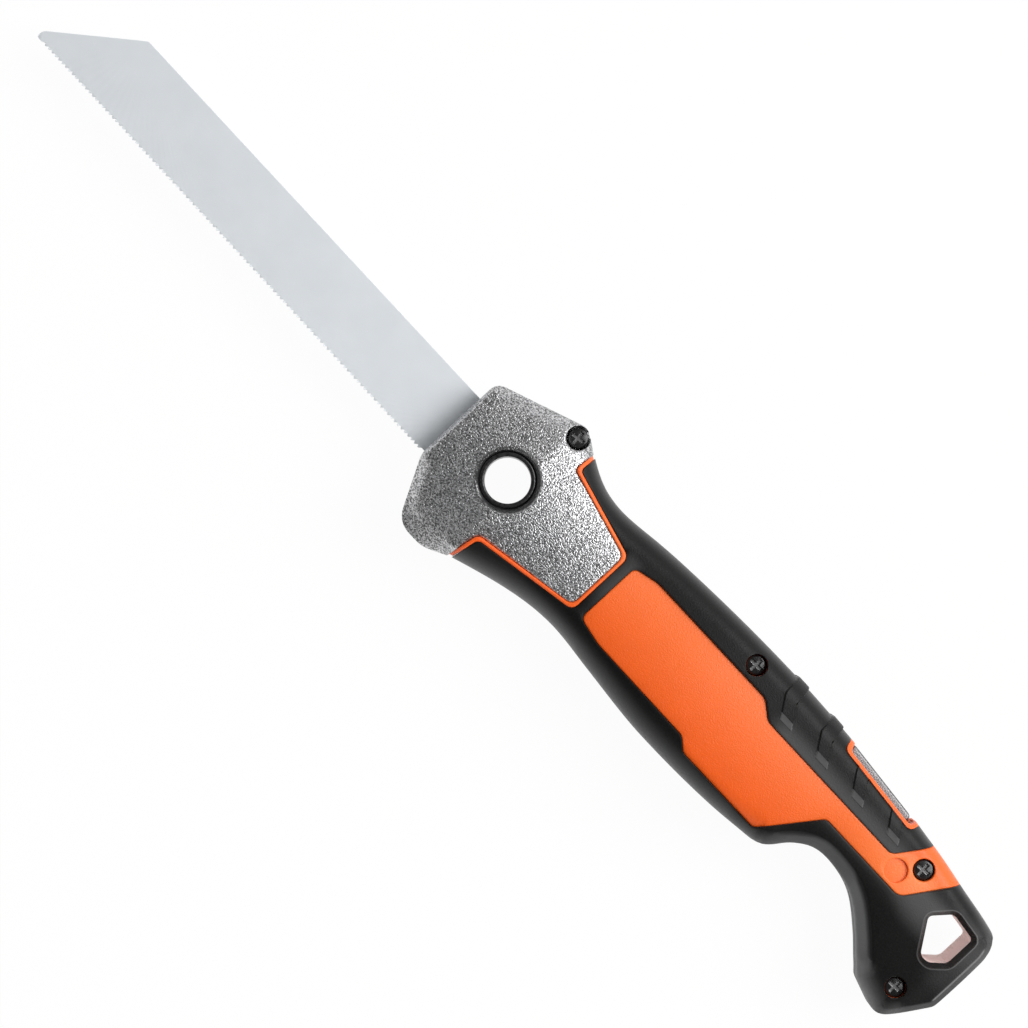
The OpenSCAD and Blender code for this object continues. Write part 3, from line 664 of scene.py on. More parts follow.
def thinned(points, gaps, cell=0.6):
    """Points in their order, without those that lie within their gap of an earlier one."""
    cells = {}
    chosen = []
    for q, gap in zip(points, gaps):
        x, y = int(q[0] // cell), int(q[1] // cell)
        around = [r for i in (-1, 0, 1) for j in (-1, 0, 1) for r in cells.get((x + i, y + j), ())]
        if all((r[0] - q[0])**2 + (r[1] - q[1])**2 > gap * gap for r in around):
            cells.setdefault((x, y), []).append(q)
            chosen.append(q)
    return chosen


def triangulated(loops, points, tolerance):
    """Triangles over closed loops and loose points, with every loop's edges kept."""
    verts, edges = [], []
    for q in loops:
        n = len(verts)
        verts += [Vector(v) for v in q]
        edges += [(n + i, n + (i + 1) % len(q)) for i in range(len(q))]
    verts += [Vector(v) for v in points]
    out = delaunay_2d_cdt(verts, edges, [], 0, tolerance, False)
    return np.array([q[:] for q in out[0]]), np.array(out[2])


def facing_up(p, tri):
    """Triangles turned to face up, and twice the area of each."""
    e, f = p[tri[:, 1]] - p[tri[:, 0]], p[tri[:, 2]] - p[tri[:, 0]]
    area = e[:, 0] * f[:, 1] - e[:, 1] * f[:, 0]
    return np.where((area < 0)[:, None], tri[:, ::-1], tri), np.abs(area)


def plan_kinds(c):
    """Kind of plan at the triangles' middles."""
    kind = np.full(len(c), NONE)
    body = inside(c, OUTLINE)
    kind[body] = GRIPPED
    areas = ((PANEL, PANELLED), (NOTCH_RIM, TAB_LINE), (COVER_RIM, LINE), (NOTCH, NOTCHED), (HANG, HOLE))
    for poly, name in areas:
        kind[body & inside(c, poly)] = name
    belly_line = SHOULDER_BELLY[0] + BELLY_LEAN * (c[:, 1] - SHOULDER_BELLY[1])
    spine_line = SHOULDER_SPINE[0] - SPINE_LEAN * (SHOULDER_SPINE[1] - c[:, 1])
    kind[c[:, 0] > np.where(c[:, 1] > 0, belly_line, spine_line)] = NONE
    kind[inside(c, COVER)] = COVERED
    kind[inside(c, EYE)] = HOLE
    return kind


def plan():
    """Points, triangles and kinds of the whole plan."""
    loops = [OUTLINE, COVER, COVER_RIM, PANEL, HANG, NOTCH, NOTCH_RIM, EYE, DISC] + HOLES + RIBS
    points, gaps = plan_points()
    keep = inside(points, OUTLINE) | inside(points, COVER)
    points, gaps = points[keep], gaps[keep]
    starts = np.vstack(loops)
    ends = np.vstack([np.roll(q, -1, axis=0) for q in loops])
    keep = near(points, starts, ends)[0] > np.minimum(gaps, 0.5) * 0.9
    v, f = triangulated(loops, thinned(points[keep], gaps[keep]), 1e-4)
    f, area = facing_up(v, f)
    f = f[area > 1e-7]
    return v, f, plan_kinds(v[f].mean(1))


PLAN_V, PLAN_F, PLAN_KIND = plan()


# Meshes

def placed(name, data):
    made = bpy.data.objects.new(name, data)
    bpy.context.collection.objects.link(made)
    return made


def dress(name, mesh, look, node, body="handle", sharp=50):
    """A piece that stands for one node of the frame and rides on its body."""
    verts, faces = mesh
    data = bpy.data.meshes.new(name)
    data.from_pydata([tuple(v) for v in verts], [], [tuple(f) for f in faces])
    data.validate()
    data.polygons.foreach_set("use_smooth", [True] * len(data.polygons))
    data.set_sharp_from_angle(angle=math.radians(sharp))
    data.materials.append(look)
    data.update()
    piece = placed(name, data)
    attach(piece, body)
    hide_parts(node)
    return piece


def mark(piece, name, values):
    """Gives each point of a piece a value that its material reads by name."""
    piece.data.attributes.new(name, "FLOAT", "POINT").data.foreach_set("value", values)


def spots(piece):
    """Places of a piece's points in plan."""
    return np.array([q.co[:2] for q in piece.data.vertices]) / MM


def directed(tri):
    return [(t[i], t[(i + 1) % 3]) for t in tri for i in range(3)]


def inward_at(xy, edges):
    """Directions from a rim towards the piece, and 0 away from the rim."""
    inward = np.zeros((len(xy), 2))
    for a, b in edges:
        g = xy[b] - xy[a]
        g = np.array([-g[1], g[0]]) / max(np.linalg.norm(g), 1e-9)
        inward[a] += g
        inward[b] += g
    size = np.linalg.norm(inward, axis=1)
    inward[size > 0] /= size[size > 0][:, None]
    return inward


def slab(kinds, heads, top, side, lip=0.3, tuck=0.12, nowhere=99.0):
    """One closed half piece over some kinds of plan: its top, its walls and its hollow underside.

    top takes points with their distances to the seams and to the free rim, and gives the heights of
    the upper side, the places in plan and the heights of the underside."""
    kind = PLAN_KIND.copy()
    middles = PLAN_V[PLAN_F].mean(1)
    for i in heads:
        kind[inside(middles, HOLES[i])] = HOLE
    used, tri = np.unique(PLAN_F[np.isin(kind, kinds)], return_inverse=True)
    tri = tri.reshape(-1, 3)
    p = PLAN_V[used]
    edges = dict.fromkeys(directed(tri))
    rim = [e for e in edges if (e[1], e[0]) not in edges]
    owner = dict(zip(directed(PLAN_F), np.repeat(kind, 3)))
    beyond = [owner.get((used[b], used[a]), NONE) for a, b in rim]
    free = [e for e, other in zip(rim, beyond) if other == NONE]
    seam = [e for e, other in zip(rim, beyond) if other != NONE]
    gaps = []
    for some in (seam, free):
        ends = np.array(some).reshape(-1, 2)
        gaps.append(near(p, p[ends[:, 0]], p[ends[:, 1]])[0] if some else np.full(len(p), nowhere))
    z, xy, low = top(p, *gaps)
    inward = inward_at(xy, free)
    on_free = np.zeros(len(p), bool)
    on_free[np.array(free, int).ravel()] = True
    under = xy + tuck * inward
    verts = [*np.column_stack([xy, z]), *np.column_stack([under, low])]
    base = len(p)
    faces = [*tri, *(tri[:, ::-1] + base)]
    waist = {}
    for i in dict.fromkeys(i for e in rim for i in e):
        height = low[i] + lip if on_free[i] else (z[i] + 2 * low[i]) / 3
        waist[i] = len(verts)
        verts.append((xy[i][0], xy[i][1], min(height, z[i] - 0.01)))
    for a, b in rim:
        faces.append((b, a, waist[a], waist[b]))
        faces.append((waist[b], waist[a], a + base, b + base))
    verts = np.array(verts)
    if side < 0:
        verts[:, 2] *= -1
        faces = [f[::-1] for f in faces]
    return verts * MM, faces


def joined(parts):
    verts, faces = [], []
    for v, f in parts:
        n = sum(len(q) for q in verts)
        verts.append(v)
        faces += [tuple(i + n for i in q) for q in f]
    return np.vstack(verts), faces


def turned(profile, n, at=(0, 0)):
    """A closed ring turned about Z from a closed profile of radius and height."""
    verts, faces = [], []
    m = len(profile)
    for i in range(n):
        a = 2 * math.pi * i / n
        verts += [(at[0] + r * math.cos(a), at[1] + r * math.sin(a), z) for r, z in profile]
    for i in range(n):
        for j in range(m):
            here, there = i * m, ((i + 1) % n) * m
            faces.append((here + j, there + j, there + (j + 1) % m, here + (j + 1) % m))
    return np.array(verts) * MM, faces


def filled(poly):
    """Triangles that fill one closed outline, facing up."""
    points, tri = triangulated([poly], [], 1e-6)
    assert len(points) == len(poly)
    tri = tri[inside(poly[tri].mean(1), poly)]
    tri, area = facing_up(poly, tri)
    return tri[area > 1e-6]


def prism(poly, half_t, edge, steps=1):
    """A flat piece from an outline, with its edges broken by a small chamfer or rounding."""
    n = len(poly)
    left = signed_area(poly) > 0
    inward = -1 if left else 1
    turns = np.linspace(0, math.pi / 2, steps + 1)
    edges = [(shifted(poly, inward * edge * (1 - math.sin(t))), edge * (1 - math.cos(t))) for t in turns]
    rows = [(q, half_t - h) for q, h in edges] + [(q, h - half_t) for q, h in edges[::-1]]
    verts = [(q[0], q[1], h) for ring, h in rows for q in ring]
    cap = filled(poly)
    last = (len(rows) - 1) * n
    faces = [*cap, *(cap[:, ::-1] + last)]
    for k in range(len(rows) - 1):
        for i in range(n):
            j = (i + 1) % n
            a, b, c, d = k * n + i, k * n + j, (k + 1) * n + j, (k + 1) * n + i
            faces.append((a, d, c, b) if left else (a, b, c, d))
    return np.array(verts) * MM, faces


# Materials

def new_nodes(tree, *kinds):
    return [tree.nodes.new("ShaderNode" + kind) for kind in kinds]


class Look:
    """A procedural material: noises in the piece's own place that drive one Principled shader."""

    def __init__(self, name, **sockets):
        self.material = bpy.data.materials.new(name)
        self.material.use_nodes = True
        self.tree = self.material.node_tree
        self.shader = self.tree.nodes["Principled BSDF"]
        self.place = self.node("TexCoord").outputs["Object"]
        self.paint = None
        self.fill(self.shader, sockets)

    def fill(self, node, sockets):
        for name, value in sockets.items():
            node.inputs[name.replace("_", " ")].default_value = value

    def node(self, kind, **sockets):
        made, = new_nodes(self.tree, kind)
        self.fill(made, sockets)
        return made

    def link(self, output, node, socket):
        self.tree.links.new(output, node.inputs[socket])

    def noise(self, size, detail=3, rough=0.55, stretch=(1, 1, 1), warp=0.0):
        """Noise of a size in mm, stretched along the axes."""
        where = self.node("Mapping", Scale=stretch)
        self.link(self.place, where, "Vector")
        scale = 1 / (size * MM)
        made = self.node("TexNoise", Scale=scale, Detail=detail, Roughness=rough, Distortion=warp)
        self.link(where.outputs["Vector"], made, "Vector")
        return made.outputs["Fac"]

    def mark(self, name):
        made = self.node("Attribute")
        made.attribute_name = name
        return made.outputs["Fac"]

    def span(self, value, a, b, c, d):
        """Takes a value from between a and b to between c and d."""
        made = self.node("MapRange", From_Min=a, From_Max=b, To_Min=c, To_Max=d)
        self.link(value, made, "Value")
        return made.outputs["Result"]

    def mix(self, value, tint):
        """Mixes a tint into the paint so far; gives the socket for what it is mixed into."""
        made = self.node("Mix")
        made.data_type = "RGBA"
        ports = {i.name: i for i in made.inputs if i.type == "RGBA"}
        ports["B"].default_value = (*tint, 1)
        self.link(value, made, "Factor")
        self.paint = [o for o in made.outputs if o.type == "RGBA"][0]
        self.link(self.paint, self.shader, "Base Color")
        return ports["A"]

    def colour(self, value, a, b, low=0.3, high=0.7):
        """Base colour that goes from a to b with a noise."""
        self.mix(self.span(value, low, high, 0, 1), b).default_value = (*a, 1)

    def tint_where_marked(self, name, tint):
        """Tint over the base colour where the piece's points are marked."""
        below = self.paint
        self.tree.links.new(below, self.mix(self.mark(name), tint))

    def rough(self, value, a, b):
        self.link(self.span(value, 0.3, 0.7, a, b), self.shader, "Roughness")

    def bump(self, value, height, strength=1.0):
        """Relief of a height in mm."""
        made = self.node("Bump", Strength=strength, Distance=height * MM)
        self.link(value, made, "Height")
        self.link(made.outputs["Normal"], self.shader, "Normal")


def hammertone():
    look = Look("head_hammertone", Metallic=0.9)
    wrinkle = look.noise(0.4, 1, 0.5, (1, 1.2, 1), 0.4)
    look.colour(wrinkle, (0.15, 0.15, 0.153), (0.68, 0.68, 0.692), 0.37, 0.63)
    look.tint_where_marked("dish", (0.165, 0.165, 0.168))
    look.rough(look.noise(6, 2), 0.32, 0.36)
    look.bump(wrinkle, 0.145)
    return look.material


def orange():
    look = Look("shell_plastic", Metallic=0.0, Specular_IOR_Level=0.4)
    look.colour(look.noise(5), (0.82, 0.1, 0.0035), (0.87, 0.107, 0.0045))
    # Paler where marked: painted sheen towards the spine, and paler by the butt
    look.tint_where_marked("pale", (0.97, 0.24, 0.06))
    look.rough(look.noise(1.2, 2), 0.40, 0.48)
    look.bump(look.noise(0.3, 2), 0.1)
    return look.material


def rubber():
    look = Look("grip_rubber", Metallic=0.0, Sheen_Weight=0.12, Sheen_Roughness=0.3)
    grain = look.noise(0.3, 2)
    look.colour(grain, (0.003, 0.0029, 0.0028), (0.0085, 0.0082, 0.008))
    # Pale where marked: painted highlight on the grip's edges, crest and ribs
    look.tint_where_marked("painted_highlight", (0.15, 0.15, 0.15))
    # Less reflection where marked deep: painted shade
    look.link(look.span(look.mark("deep"), 0, 1, 0.2, 0.02), look.shader, "Specular IOR Level")
    look.rough(look.noise(2.5, 2), 0.46, 0.5)
    look.bump(grain, 0.05)
    return look.material


def steel(name, a, b, rough, metallic=1.0):
    look = Look(name, Metallic=metallic)
    lines = look.noise(0.12, 3, 0.6, (0.06, 1, 1))
    look.colour(look.noise(9, 2), a, b)
    look.rough(lines, rough - 0.05, rough + 0.06)
    look.bump(lines, 0.004, 0.6)
    return look.material


def blackened(name):
    look = Look(name, Metallic=0.75)
    look.colour(look.noise(0.8), (0.025, 0.025, 0.025), (0.06, 0.06, 0.061))
    # Paler where marked: painted glint on the floor of the cross recess
    look.tint_where_marked("painted_glint", (0.3, 0.3, 0.3))
    look.rough(look.noise(0.6, 2), 0.24, 0.34)
    look.bump(look.noise(0.25, 2), 0.01, 0.7)
    return look.material


def cast_tab():
    look = Look("tab_cast", Metallic=0.8)
    grain = look.noise(0.3)
    look.colour(grain, (0.08, 0.08, 0.083), (0.25, 0.25, 0.255), 0.35, 0.65)
    look.rough(grain, 0.32, 0.46)
    look.bump(grain, 0.05, 0.9)
    return look.material


def pale():
    look = Look("sleeve_plastic", Metallic=0.0)
    # Pale pink: painted light, for the orange lining washed out by the light through the hole
    look.colour(look.noise(3, 2), (0.95, 0.74, 0.70), (0.97, 0.79, 0.75))
    look.rough(look.noise(0.8, 2), 0.42, 0.52)
    look.bump(look.noise(0.4, 2), 0.01, 0.6)
    return look.material


M_HEAD = hammertone()
M_ORANGE = orange()
M_RUBBER = rubber()
M_BLADE = steel("blade_steel", (0.71, 0.745, 0.775), (0.74, 0.775, 0.805), 0.42, 0.25)
M_INNER = steel("inner_steel", (0.50, 0.50, 0.51), (0.60, 0.60, 0.61), 0.34)
M_RIVET = steel("rivet_steel", (0.45, 0.45, 0.46), (0.55, 0.55, 0.56), 0.3)
M_SCREW = blackened("screw_black")
M_EYE = blackened("eyelet_black")
M_TAB = cast_tab()
M_PALE = pale()


# Halves of the head, the handle and the grip

def low_side(z, d, wall):
    """Height of the underside: down to the mid plane along the edge, and a wall's thickness elsewhere."""
    return np.where(d < SOLID_EDGE, MEET, np.maximum(z - wall, MEET))


def by_screw(p, reach, screws=SCREWS):
    return np.min([np.hypot(p[:, 0] - x, p[:, 1] - y) for x, y, _ in screws], axis=0) < reach


def grip_part(p, seam, free):
    """Black grip: the handle's surface with ribs, the hanging hole's chamfer and rounded seams."""
    z, d, k = handle_top(p)
    lift = RIB_H * rib_lift(p)
    z = z + lift * step(d, 0, 2.0)
    hang = loop_near(p, HANG)[0]
    slope = np.clip(1 - hang / HANG_CHAMFER, 0, 1)
    z = z - (z - SLEEVE_TOP - 0.05) * slope + 0.08 * bell(hang, HANG_CHAMFER + 0.08, 0.1)
    edge = np.where(by_screw(p, SCREW_NEAR), rolled(seam, *SCREW_SEAM), rolled(seam, *GRIP_SEAM))
    bridge = window(-p[:, 0], *BRIDGE)
    z = z - edge * (1 - bridge) * (hang > 0.8) - rolled(seam, *BRIDGE_SEAM) * bridge
    e = np.roll(OUTLINE, -1, axis=0) - OUTLINE
    e /= np.linalg.norm(e, axis=1)[:, None]
    out = columns(-e[:, 1], e[:, 0])[k]
    xy = p + out * (lift * np.clip(1 - d / 3.0, 0, 1))[:, None]
    low = low_side(z, d, GRIP_WALL)
    return z, xy, np.where(hang < 1.25, np.maximum(low, SLEEVE_TOP), low)


def line_part(p, seam, free, tuck=LINE_TUCK):
    """Raised orange line, whose ends tuck under the grip's edge."""
    z, d, _ = handle_top(p)
    z = z + LINE_RISE - rolled(seam, *LINE_SEAM)
    spine, belly, _ = across(p)
    fade = np.clip(1 - np.minimum(p[:, 1] + spine, belly - p[:, 1]) / 3.0, 0, 1)
    xy = columns(p[:, 0], p[:, 1] - np.sign(p[:, 1]) * tuck * fade)
    return z, xy, low_side(z, d, SHELL_WALL)


def notch_part(p, seam, free):
    """Rim of the tab's notch, with a slot between the halves that the tab sinks into."""
    z, xy, low = line_part(p, seam, free, 0)
    slot = (p[:, 0] < -(TAB_FRONT - TAB_LOOSE + 0.05)) & (p[:, 0] > -(TAB_REAR + TAB_AFT))
    return z, xy, np.where(slot, np.maximum(low, TAB_HALF + TAB_LOOSE), low)


def panel_part(p, seam, free):
    """Orange panel and band, a little below the grip and more crowned."""
    z, d, _ = handle_top(p)
    z = z - PANEL_DROP - PANEL_CROWN * off_middle(p) * step(d, 0, 7) - rolled(seam, *PANEL_SEAM)
    return z, p, low_side(z, d, SHELL_WALL)


def panel_part_upper(p, seam, free):
    """The panel with the round recess of the screws' side."""
    z, xy, low = panel_part(p, seam, free)
    x, y, r = RECESS
    within = r - np.hypot(p[:, 0] - x, p[:, 1] - y)
    return z - RECESS_DEPTH * step(within, -0.02, 0.1), xy, low


def cover_part(p, seam, free):
    """Cover of the head, with the blade's mouth and the seat of its screw underneath."""
    z = cover_top(p, free) - rolled(seam, *COVER_SEAM)
    low = np.where(free < SOLID_EDGE, MEET, z - COVER_WALL)
    mouth = (p[:, 0] > MOUTH_FRONT) & (p[:, 1] > MOUTH_SIDES[0]) & (p[:, 1] < MOUTH_SIDES[1])
    low = np.where(mouth, np.maximum(low, MOUTH_HALF), low)
    low = np.where(by_screw(p, 3.2, SCREWS[:1]), np.minimum(low, SCREWS[0][2] - 1), low)
    return z, p, np.minimum(low, z - 0.3)


def screw_ring(i):
    """Orange ring round a screw that sits in the grip."""
    x, y, seat = SCREWS[i]
    foot = seat - RING_FOOT
    top = float(handle_top(np.array([[x, y]]))[0][0]) - RING_DROP
    inner, outer = SCREW_ROOM[i] - RING_PLAY, SCREW_ROOM[i] + RING_WALL
    return turned([(inner, foot), (outer, foot), (outer, top - RING_SLOPE), (inner, top)], 48, (x, y))


def half(side):
    """Cover, shell and grip of one side: 1 for the side with the screws' heads, -1 for the other."""
    upper = side > 0
    word = "upper" if upper else "lower"
    heads = range(len(SCREWS)) if upper else ()
    cover = slab([COVERED], heads, cover_part, side)
    piece = dress("head_cover_dressed_" + word, cover, M_HEAD, "head_cover_" + word)
    mark(piece, "dish", dished(spots(piece)))
    shell = [slab([LINE], heads, line_part, side), slab([TAB_LINE], heads, notch_part, side)]
    shell.append(slab([PANELLED], heads, panel_part_upper if upper else panel_part, side))
    shell += [screw_ring(i) for i in RINGED if upper]
    piece = dress("shell_dressed_" + word, joined(shell), M_ORANGE, "shell_" + word)
    # Paler orange: painted sheen towards the spine, and paler by the butt
    mark(piece, "pale", paler_orange(spots(piece)))
    grip = slab([GRIPPED], heads, grip_part, side)
    piece = dress("grip_dressed_" + word, grip, M_RUBBER, "grip_" + word)
    # Painted highlight on the grip's edges, crest and ribs
    mark(piece, "painted_highlight", painted_highlights(spots(piece)))
    # Painted shade on the grip, by less reflection
    mark(piece, "deep", painted_shade(spots(piece)))


# Eyelet, screws, blade, tab and sleeve

def eyelet():
    """Tube with a rolled lip, and the ring that closes it on the far side."""
    arc = np.linspace(0, math.pi / 2, 5)
    lip, hub, crown = LIP_R - LIP_ROUND, EYELET_R + LIP_ROUND, LIP_TOP - LIP_ROUND
    rows = [(TUBE_R, LIP_LOW), (LIP_R, LIP_LOW)]
    rows += [(lip + LIP_ROUND * math.cos(t), crown + LIP_ROUND * math.sin(t)) for t in arc]
    rows += [(hub - LIP_ROUND * math.sin(t), crown + LIP_ROUND * math.cos(t)) for t in arc]
    rows += [(EYELET_R, 0), (EYELET_R, 0.2 - LIP_TOP), (EYELET_R + 0.15, -LIP_TOP)]
    rows += [(TUBE_R, -LIP_TOP), (TUBE_R, 0)]
    dress("eyelet_rolled", turned(rows, 96), M_EYE, "eyelet", sharp=35)
    ring = [(COLLAR_R, -LIP_LOW), (COLLAR_R, -LIP_TOP)]
    ring += [(lip + LIP_ROUND * math.sin(t), -crown - LIP_ROUND * math.cos(t)) for t in arc]
    ring.append((LIP_R, -LIP_LOW))
    verts, faces = turned(ring, 96)
    collar = (verts, [q[::-1] for q in faces])
    dress("eyelet_ring", collar, M_EYE, "eyelet_collar", sharp=35)


def cross(arm, wide):
    """Outline of a cross: one arm, turned three more times."""
    rows = [np.array([(arm, -wide), (arm, wide), (wide, wide)])]
    for _ in range(3):
        rows.append(rows[-1] @ [[0, 1], [-1, 0]])
    return np.vstack(rows)


def screw_mesh(seat):
    """Pan head with a cross recess on a plain shank."""
    top = seat + SCREW_H
    floor = cross(*CROSS_FLOOR)
    loops = [circle(0, 0, SCREW_HEAD_R, 48), cross(*CROSS_TOP), floor]
    rings = np.vstack([circle(0, 0, r, 40) for r in (2.12, 1.98, 1.8)])
    p, tri = triangulated(loops, rings, 1e-5)
    r = np.hypot(p[:, 0], p[:, 1])
    z = top - SCREW_CROWN * (r / SCREW_HEAD_R)**2 - rolled(SCREW_HEAD_R - r, *SCREW_ROUND)
    in_recess = inside(p * 1.0001, floor * 1.001)
    z = np.where(in_recess, top - CROSS_DEPTH, z)
    verts = [*np.column_stack([p, z])]
    faces = [*facing_up(p, tri)[0]]
    angle = np.arctan2(p[:, 1], p[:, 0])
    last = rim = sorted(np.flatnonzero(r > SCREW_HEAD_R - 1e-4), key=lambda i: angle[i])
    n = len(rim)
    levels = [(SCREW_HEAD_R, seat), (SCREW_R, seat), (SCREW_R, SCREW_END + SCREW_POINT),
              (SCREW_R - SCREW_POINT, SCREW_END)]
    for radius, height in levels:
        ring = range(len(verts), len(verts) + n)
        verts += [(radius * math.cos(angle[i]), radius * math.sin(angle[i]), height) for i in rim]
        faces += [(last[k], ring[k], ring[(k + 1) % n], last[(k + 1) % n]) for k in range(n)]
        last = ring
    faces.append(tuple(last[::-1]))
    return np.array(verts) * MM, faces


def screws():
    parts, painted_glint = [], []
    for (x, y, seat), a in zip(SCREWS, SCREW_TURNS):
        verts, faces = screw_mesh(seat)
        r, z = np.hypot(verts[:, 0], verts[:, 1]) / MM, verts[:, 2] / MM
        # Floor of the cross recess, painted paler as a glint
        painted_glint.append(1.0 * (r < 1.5) * (z < seat + SCREW_H - 0.5) * (z > seat + 0.3))
        turn = np.array([[math.cos(a), -math.sin(a)], [math.sin(a), math.cos(a)]])
        verts[:, :2] = verts[:, :2] @ turn.T + np.array([x, y]) * MM
        parts.append((verts, faces))
    piece = dress("screws_cross", joined(parts), M_SCREW, "shell_screws", sharp=35)
    mark(piece, "painted_glint", np.concatenate(painted_glint))


def blade_outline():
    """Back with the latch notch, slanted end, teeth, and the tang's slot round the eyelet."""
    count = int((BLADE_REACH - TOOTH_FREE - TOOTH_FIRST) // TOOTH_PITCH)
    nose = TOOTH_TIP - 0.1
    rows = [
        (BLADE_TAIL, BLADE_BACK, 0.6), (LATCH_REAR, BLADE_BACK, 0), (LATCH_REAR, LATCH_FLOOR, 0),
        (LATCH_FRONT, LATCH_FLOOR, 0), (LATCH_FRONT, BLADE_BACK, 0), (SLANT_START, BLADE_BACK, 0.5),
        (BLADE_END, NOSE_SIDE, 1.0), (BLADE_END, nose, 0.7), (NOSE_REAR, nose, 0),
        (TOOTH_FIRST + count * TOOTH_PITCH, TOOTH_ROOT, 0)]
    for k in range(count - 1, -1, -1):
        tip, top, root = (TOOTH_FIRST + (k + share) * TOOTH_PITCH for share in (0.65, 0.5, 0))
        rows += [(tip, TOOTH_TIP, 0), (top, TOOTH_TIP - 0.06, 0), (root, TOOTH_ROOT, 0)]
    rows += [(BLADE_TAIL, TOOTH_ROOT, 0.6), (BLADE_TAIL, TANG_SLOT, 0.3)]
    turns = np.linspace(math.pi / 2, -math.pi / 2, 33)
    slot = [(TANG_SLOT * math.cos(a), TANG_SLOT * math.sin(a)) for a in turns]
    return np.vstack([soft(rows), slot, [(BLADE_TAIL, -TANG_SLOT)]])


def blade():
    mesh = prism(blade_outline(), BLADE_HALF, BLADE_EDGE)
    piece = dress("blade_toothed", mesh, M_BLADE, "blade", "blade", 20)
    for q in piece.data.vertices:
        x, y = q.co.x / MM, q.co.y / MM
        if y > TOOTH_ROOT + 0.05:
            tooth = math.floor((x - TOOTH_FIRST) / TOOTH_PITCH)
            bend = min(1, (y - TOOTH_ROOT) / (TOOTH_TIP - TOOTH_ROOT))
            q.co.z += (-1)**tooth * TOOTH_SET * MM * bend


def tab():
    front, rear = spine_at(TAB_FRONT), spine_at(TAB_REAR)
    poly = soft([
        (-TAB_REAR, TAB_SINK - rear, 1.1), (-TAB_FRONT, TAB_SINK - front, 0.6),
        (-TAB_FRONT, TAB_DEPTH - front, 0.6), (-TAB_REAR, TAB_DEPTH - rear, 1.1)])
    dress("thumb_tab", prism(poly, TAB_HALF, 0.55, 4), M_TAB, "lever_tab", "lever", 30)


def sleeve():
    """Lining of the hanging hole, with its inner edges broken."""
    inner, outer = soft(HANG_ROWS), soft(grow(HANG_ROWS, SLEEVE_WALL))
    broken = inner + (outer - inner) * 0.25
    rows = [
        (outer, SLEEVE_TOP), (broken, SLEEVE_TOP), (inner, SLEEVE_TOP - SLEEVE_EDGE),
        (inner, SLEEVE_LOW + SLEEVE_EDGE), (broken, SLEEVE_LOW), (outer, SLEEVE_LOW)]
    verts = [(q[0], q[1], h) for ring, h in rows for q in ring]
    faces = []
    n, m = len(inner), len(rows)
    for k in range(m):
        for i in range(n):
            j, above = (i + 1) % n, (k + 1) % m
            faces.append((k * n + i, above * n + i, above * n + j, k * n + j))
    if signed_area(inner) > 0:
        faces = [q[::-1] for q in faces]
    mesh = (np.array(verts) * MM, faces)
    dress("hang_sleeve", mesh, M_PALE, "hang_hole_sleeve", sharp=40)


def inner_pieces():
    """Gives the pieces of the frame that keep their own shape the look of their slot."""
    looks = {"inner_steel": M_INNER, "rivet_steel": M_RIVET}
    for row in frame["record"]["subparts"]:
        if row["material_slot"] in looks:
            materials = frame["nodes"][row["node"]].data.materials
            materials.clear()
            materials.append(looks[row["material_slot"]])


half(1)
half(-1)
eyelet()
screws()
blade()
tab()
sleeve()
inner_pieces()


# Floor, light and camera, in metres

FLOOR_HALF = 3.0
FLOOR_Z = -0.0136
FLOOR_GREY = (0.9, 0.9, 0.9, 1)
FLOOR_GLOW = 0.96
RIGHT = Vector((-0.6801, -0.7331, 0))
UP = Vector((0.7331, -0.6801, 0))
CENTRE = Vector((-0.0062, 0.0039, 0))
CAMERA_HEIGHT = 0.88
VIEW_WIDTH = 0.2206
SENSOR_MM = 36


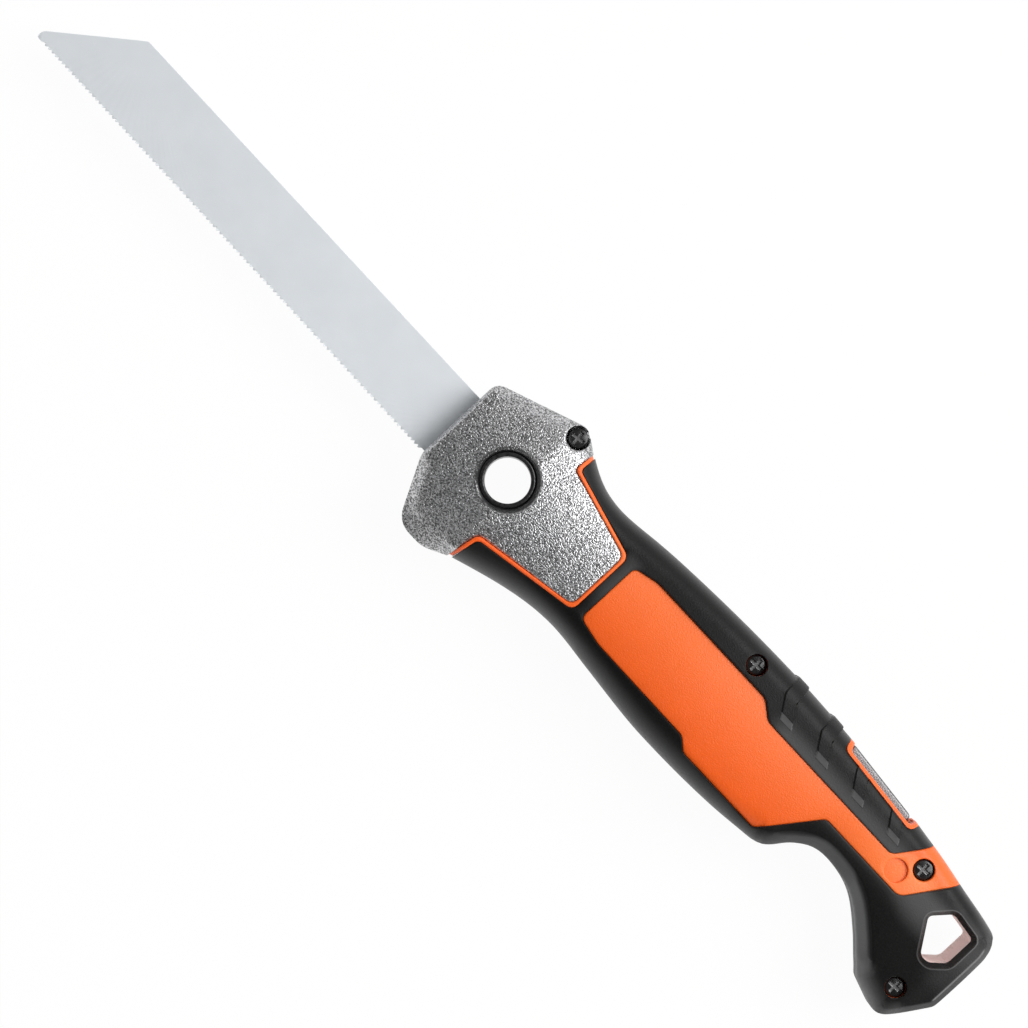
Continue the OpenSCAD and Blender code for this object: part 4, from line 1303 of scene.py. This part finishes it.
def floor_material():
    """Matt grey that keeps the shadow, and near white where the camera or a reflection sees it."""
    material = bpy.data.materials.new("studio_white")
    material.use_nodes = True
    tree = material.node_tree
    tree.nodes.clear()
    out, path, mix = new_nodes(tree, "OutputMaterial", "LightPath", "MixShader")
    white, matt = new_nodes(tree, "Emission", "BsdfDiffuse")
    seen, share = new_nodes(tree, "Math", "Math")
    seen.operation = "MAXIMUM"
    share.operation = "MULTIPLY"
    share.inputs[1].default_value = FLOOR_GLOW
    white.inputs["Strength"].default_value = 1.0
    matt.inputs["Color"].default_value = FLOOR_GREY
    links = [
        (path.outputs["Is Camera Ray"], seen.inputs[0]), (path.outputs["Is Glossy Ray"], seen.inputs[1]),
        (seen.outputs[0], share.inputs[0]), (share.outputs[0], mix.inputs[0]),
        (matt.outputs[0], mix.inputs[1]), (white.outputs[0], mix.inputs[2]),
        (mix.outputs[0], out.inputs["Surface"])]
    for output, socket in links:
        tree.links.new(output, socket)
    return material


def floor():
    mesh = bpy.data.meshes.new("studio_floor")
    s = FLOOR_HALF
    corners = [(-s, -s, FLOOR_Z), (s, -s, FLOOR_Z), (s, s, FLOOR_Z), (-s, s, FLOOR_Z)]
    mesh.from_pydata(corners, [], [(0, 1, 2, 3)])
    mesh.materials.append(floor_material())
    placed("studio_floor", mesh)


def sky():
    """White all round, bright at the horizon and dim overhead."""
    world = bpy.data.worlds.new("studio")
    bpy.context.scene.world = world
    world.use_nodes = True
    tree = world.node_tree
    where, split, fall = new_nodes(tree, "TexCoord", "SeparateXYZ", "MapRange")
    for name, value in (("From Min", 0), ("From Max", 0.85), ("To Min", 1.35), ("To Max", 0.05)):
        fall.inputs[name].default_value = value
    light = tree.nodes["Background"]
    light.inputs["Color"].default_value = (1, 1, 1, 1)
    tree.links.new(where.outputs["Generated"], split.inputs["Vector"])
    tree.links.new(split.outputs["Z"], fall.inputs["Value"])
    tree.links.new(fall.outputs["Result"], light.inputs["Strength"])


def lamp(name, right, up, height, size, power):
    """Soft rectangular lamp, placed to the picture's right, up and above, that faces the object."""
    data = bpy.data.lights.new(name, "AREA")
    data.shape = "RECTANGLE"
    data.size, data.size_y = size
    data.energy = power
    light = placed(name, data)
    at = CENTRE + RIGHT * right + UP * up + Vector((0, 0, height))
    light.location = at
    light.rotation_euler = (CENTRE - at).to_track_quat("-Z", "Y").to_euler()


def camera():
    """Camera straight above, turned as the photo is."""
    data = bpy.data.cameras.new("camera")
    data.sensor_width = SENSOR_MM
    data.lens = SENSOR_MM * CAMERA_HEIGHT / VIEW_WIDTH
    eye = placed("camera", data)
    back = Vector((0, 0, 1))
    place = Matrix((RIGHT, UP, back)).transposed().to_4x4()
    place.translation = CENTRE + back * CAMERA_HEIGHT
    eye.matrix_world = place
    bpy.context.scene.camera = eye


floor()
sky()
lamp("key", 0.95, 0.14, 1.15, (0.9, 1.1), 24.5)
camera()
bpy.context.scene.view_settings.view_transform = "Standard"
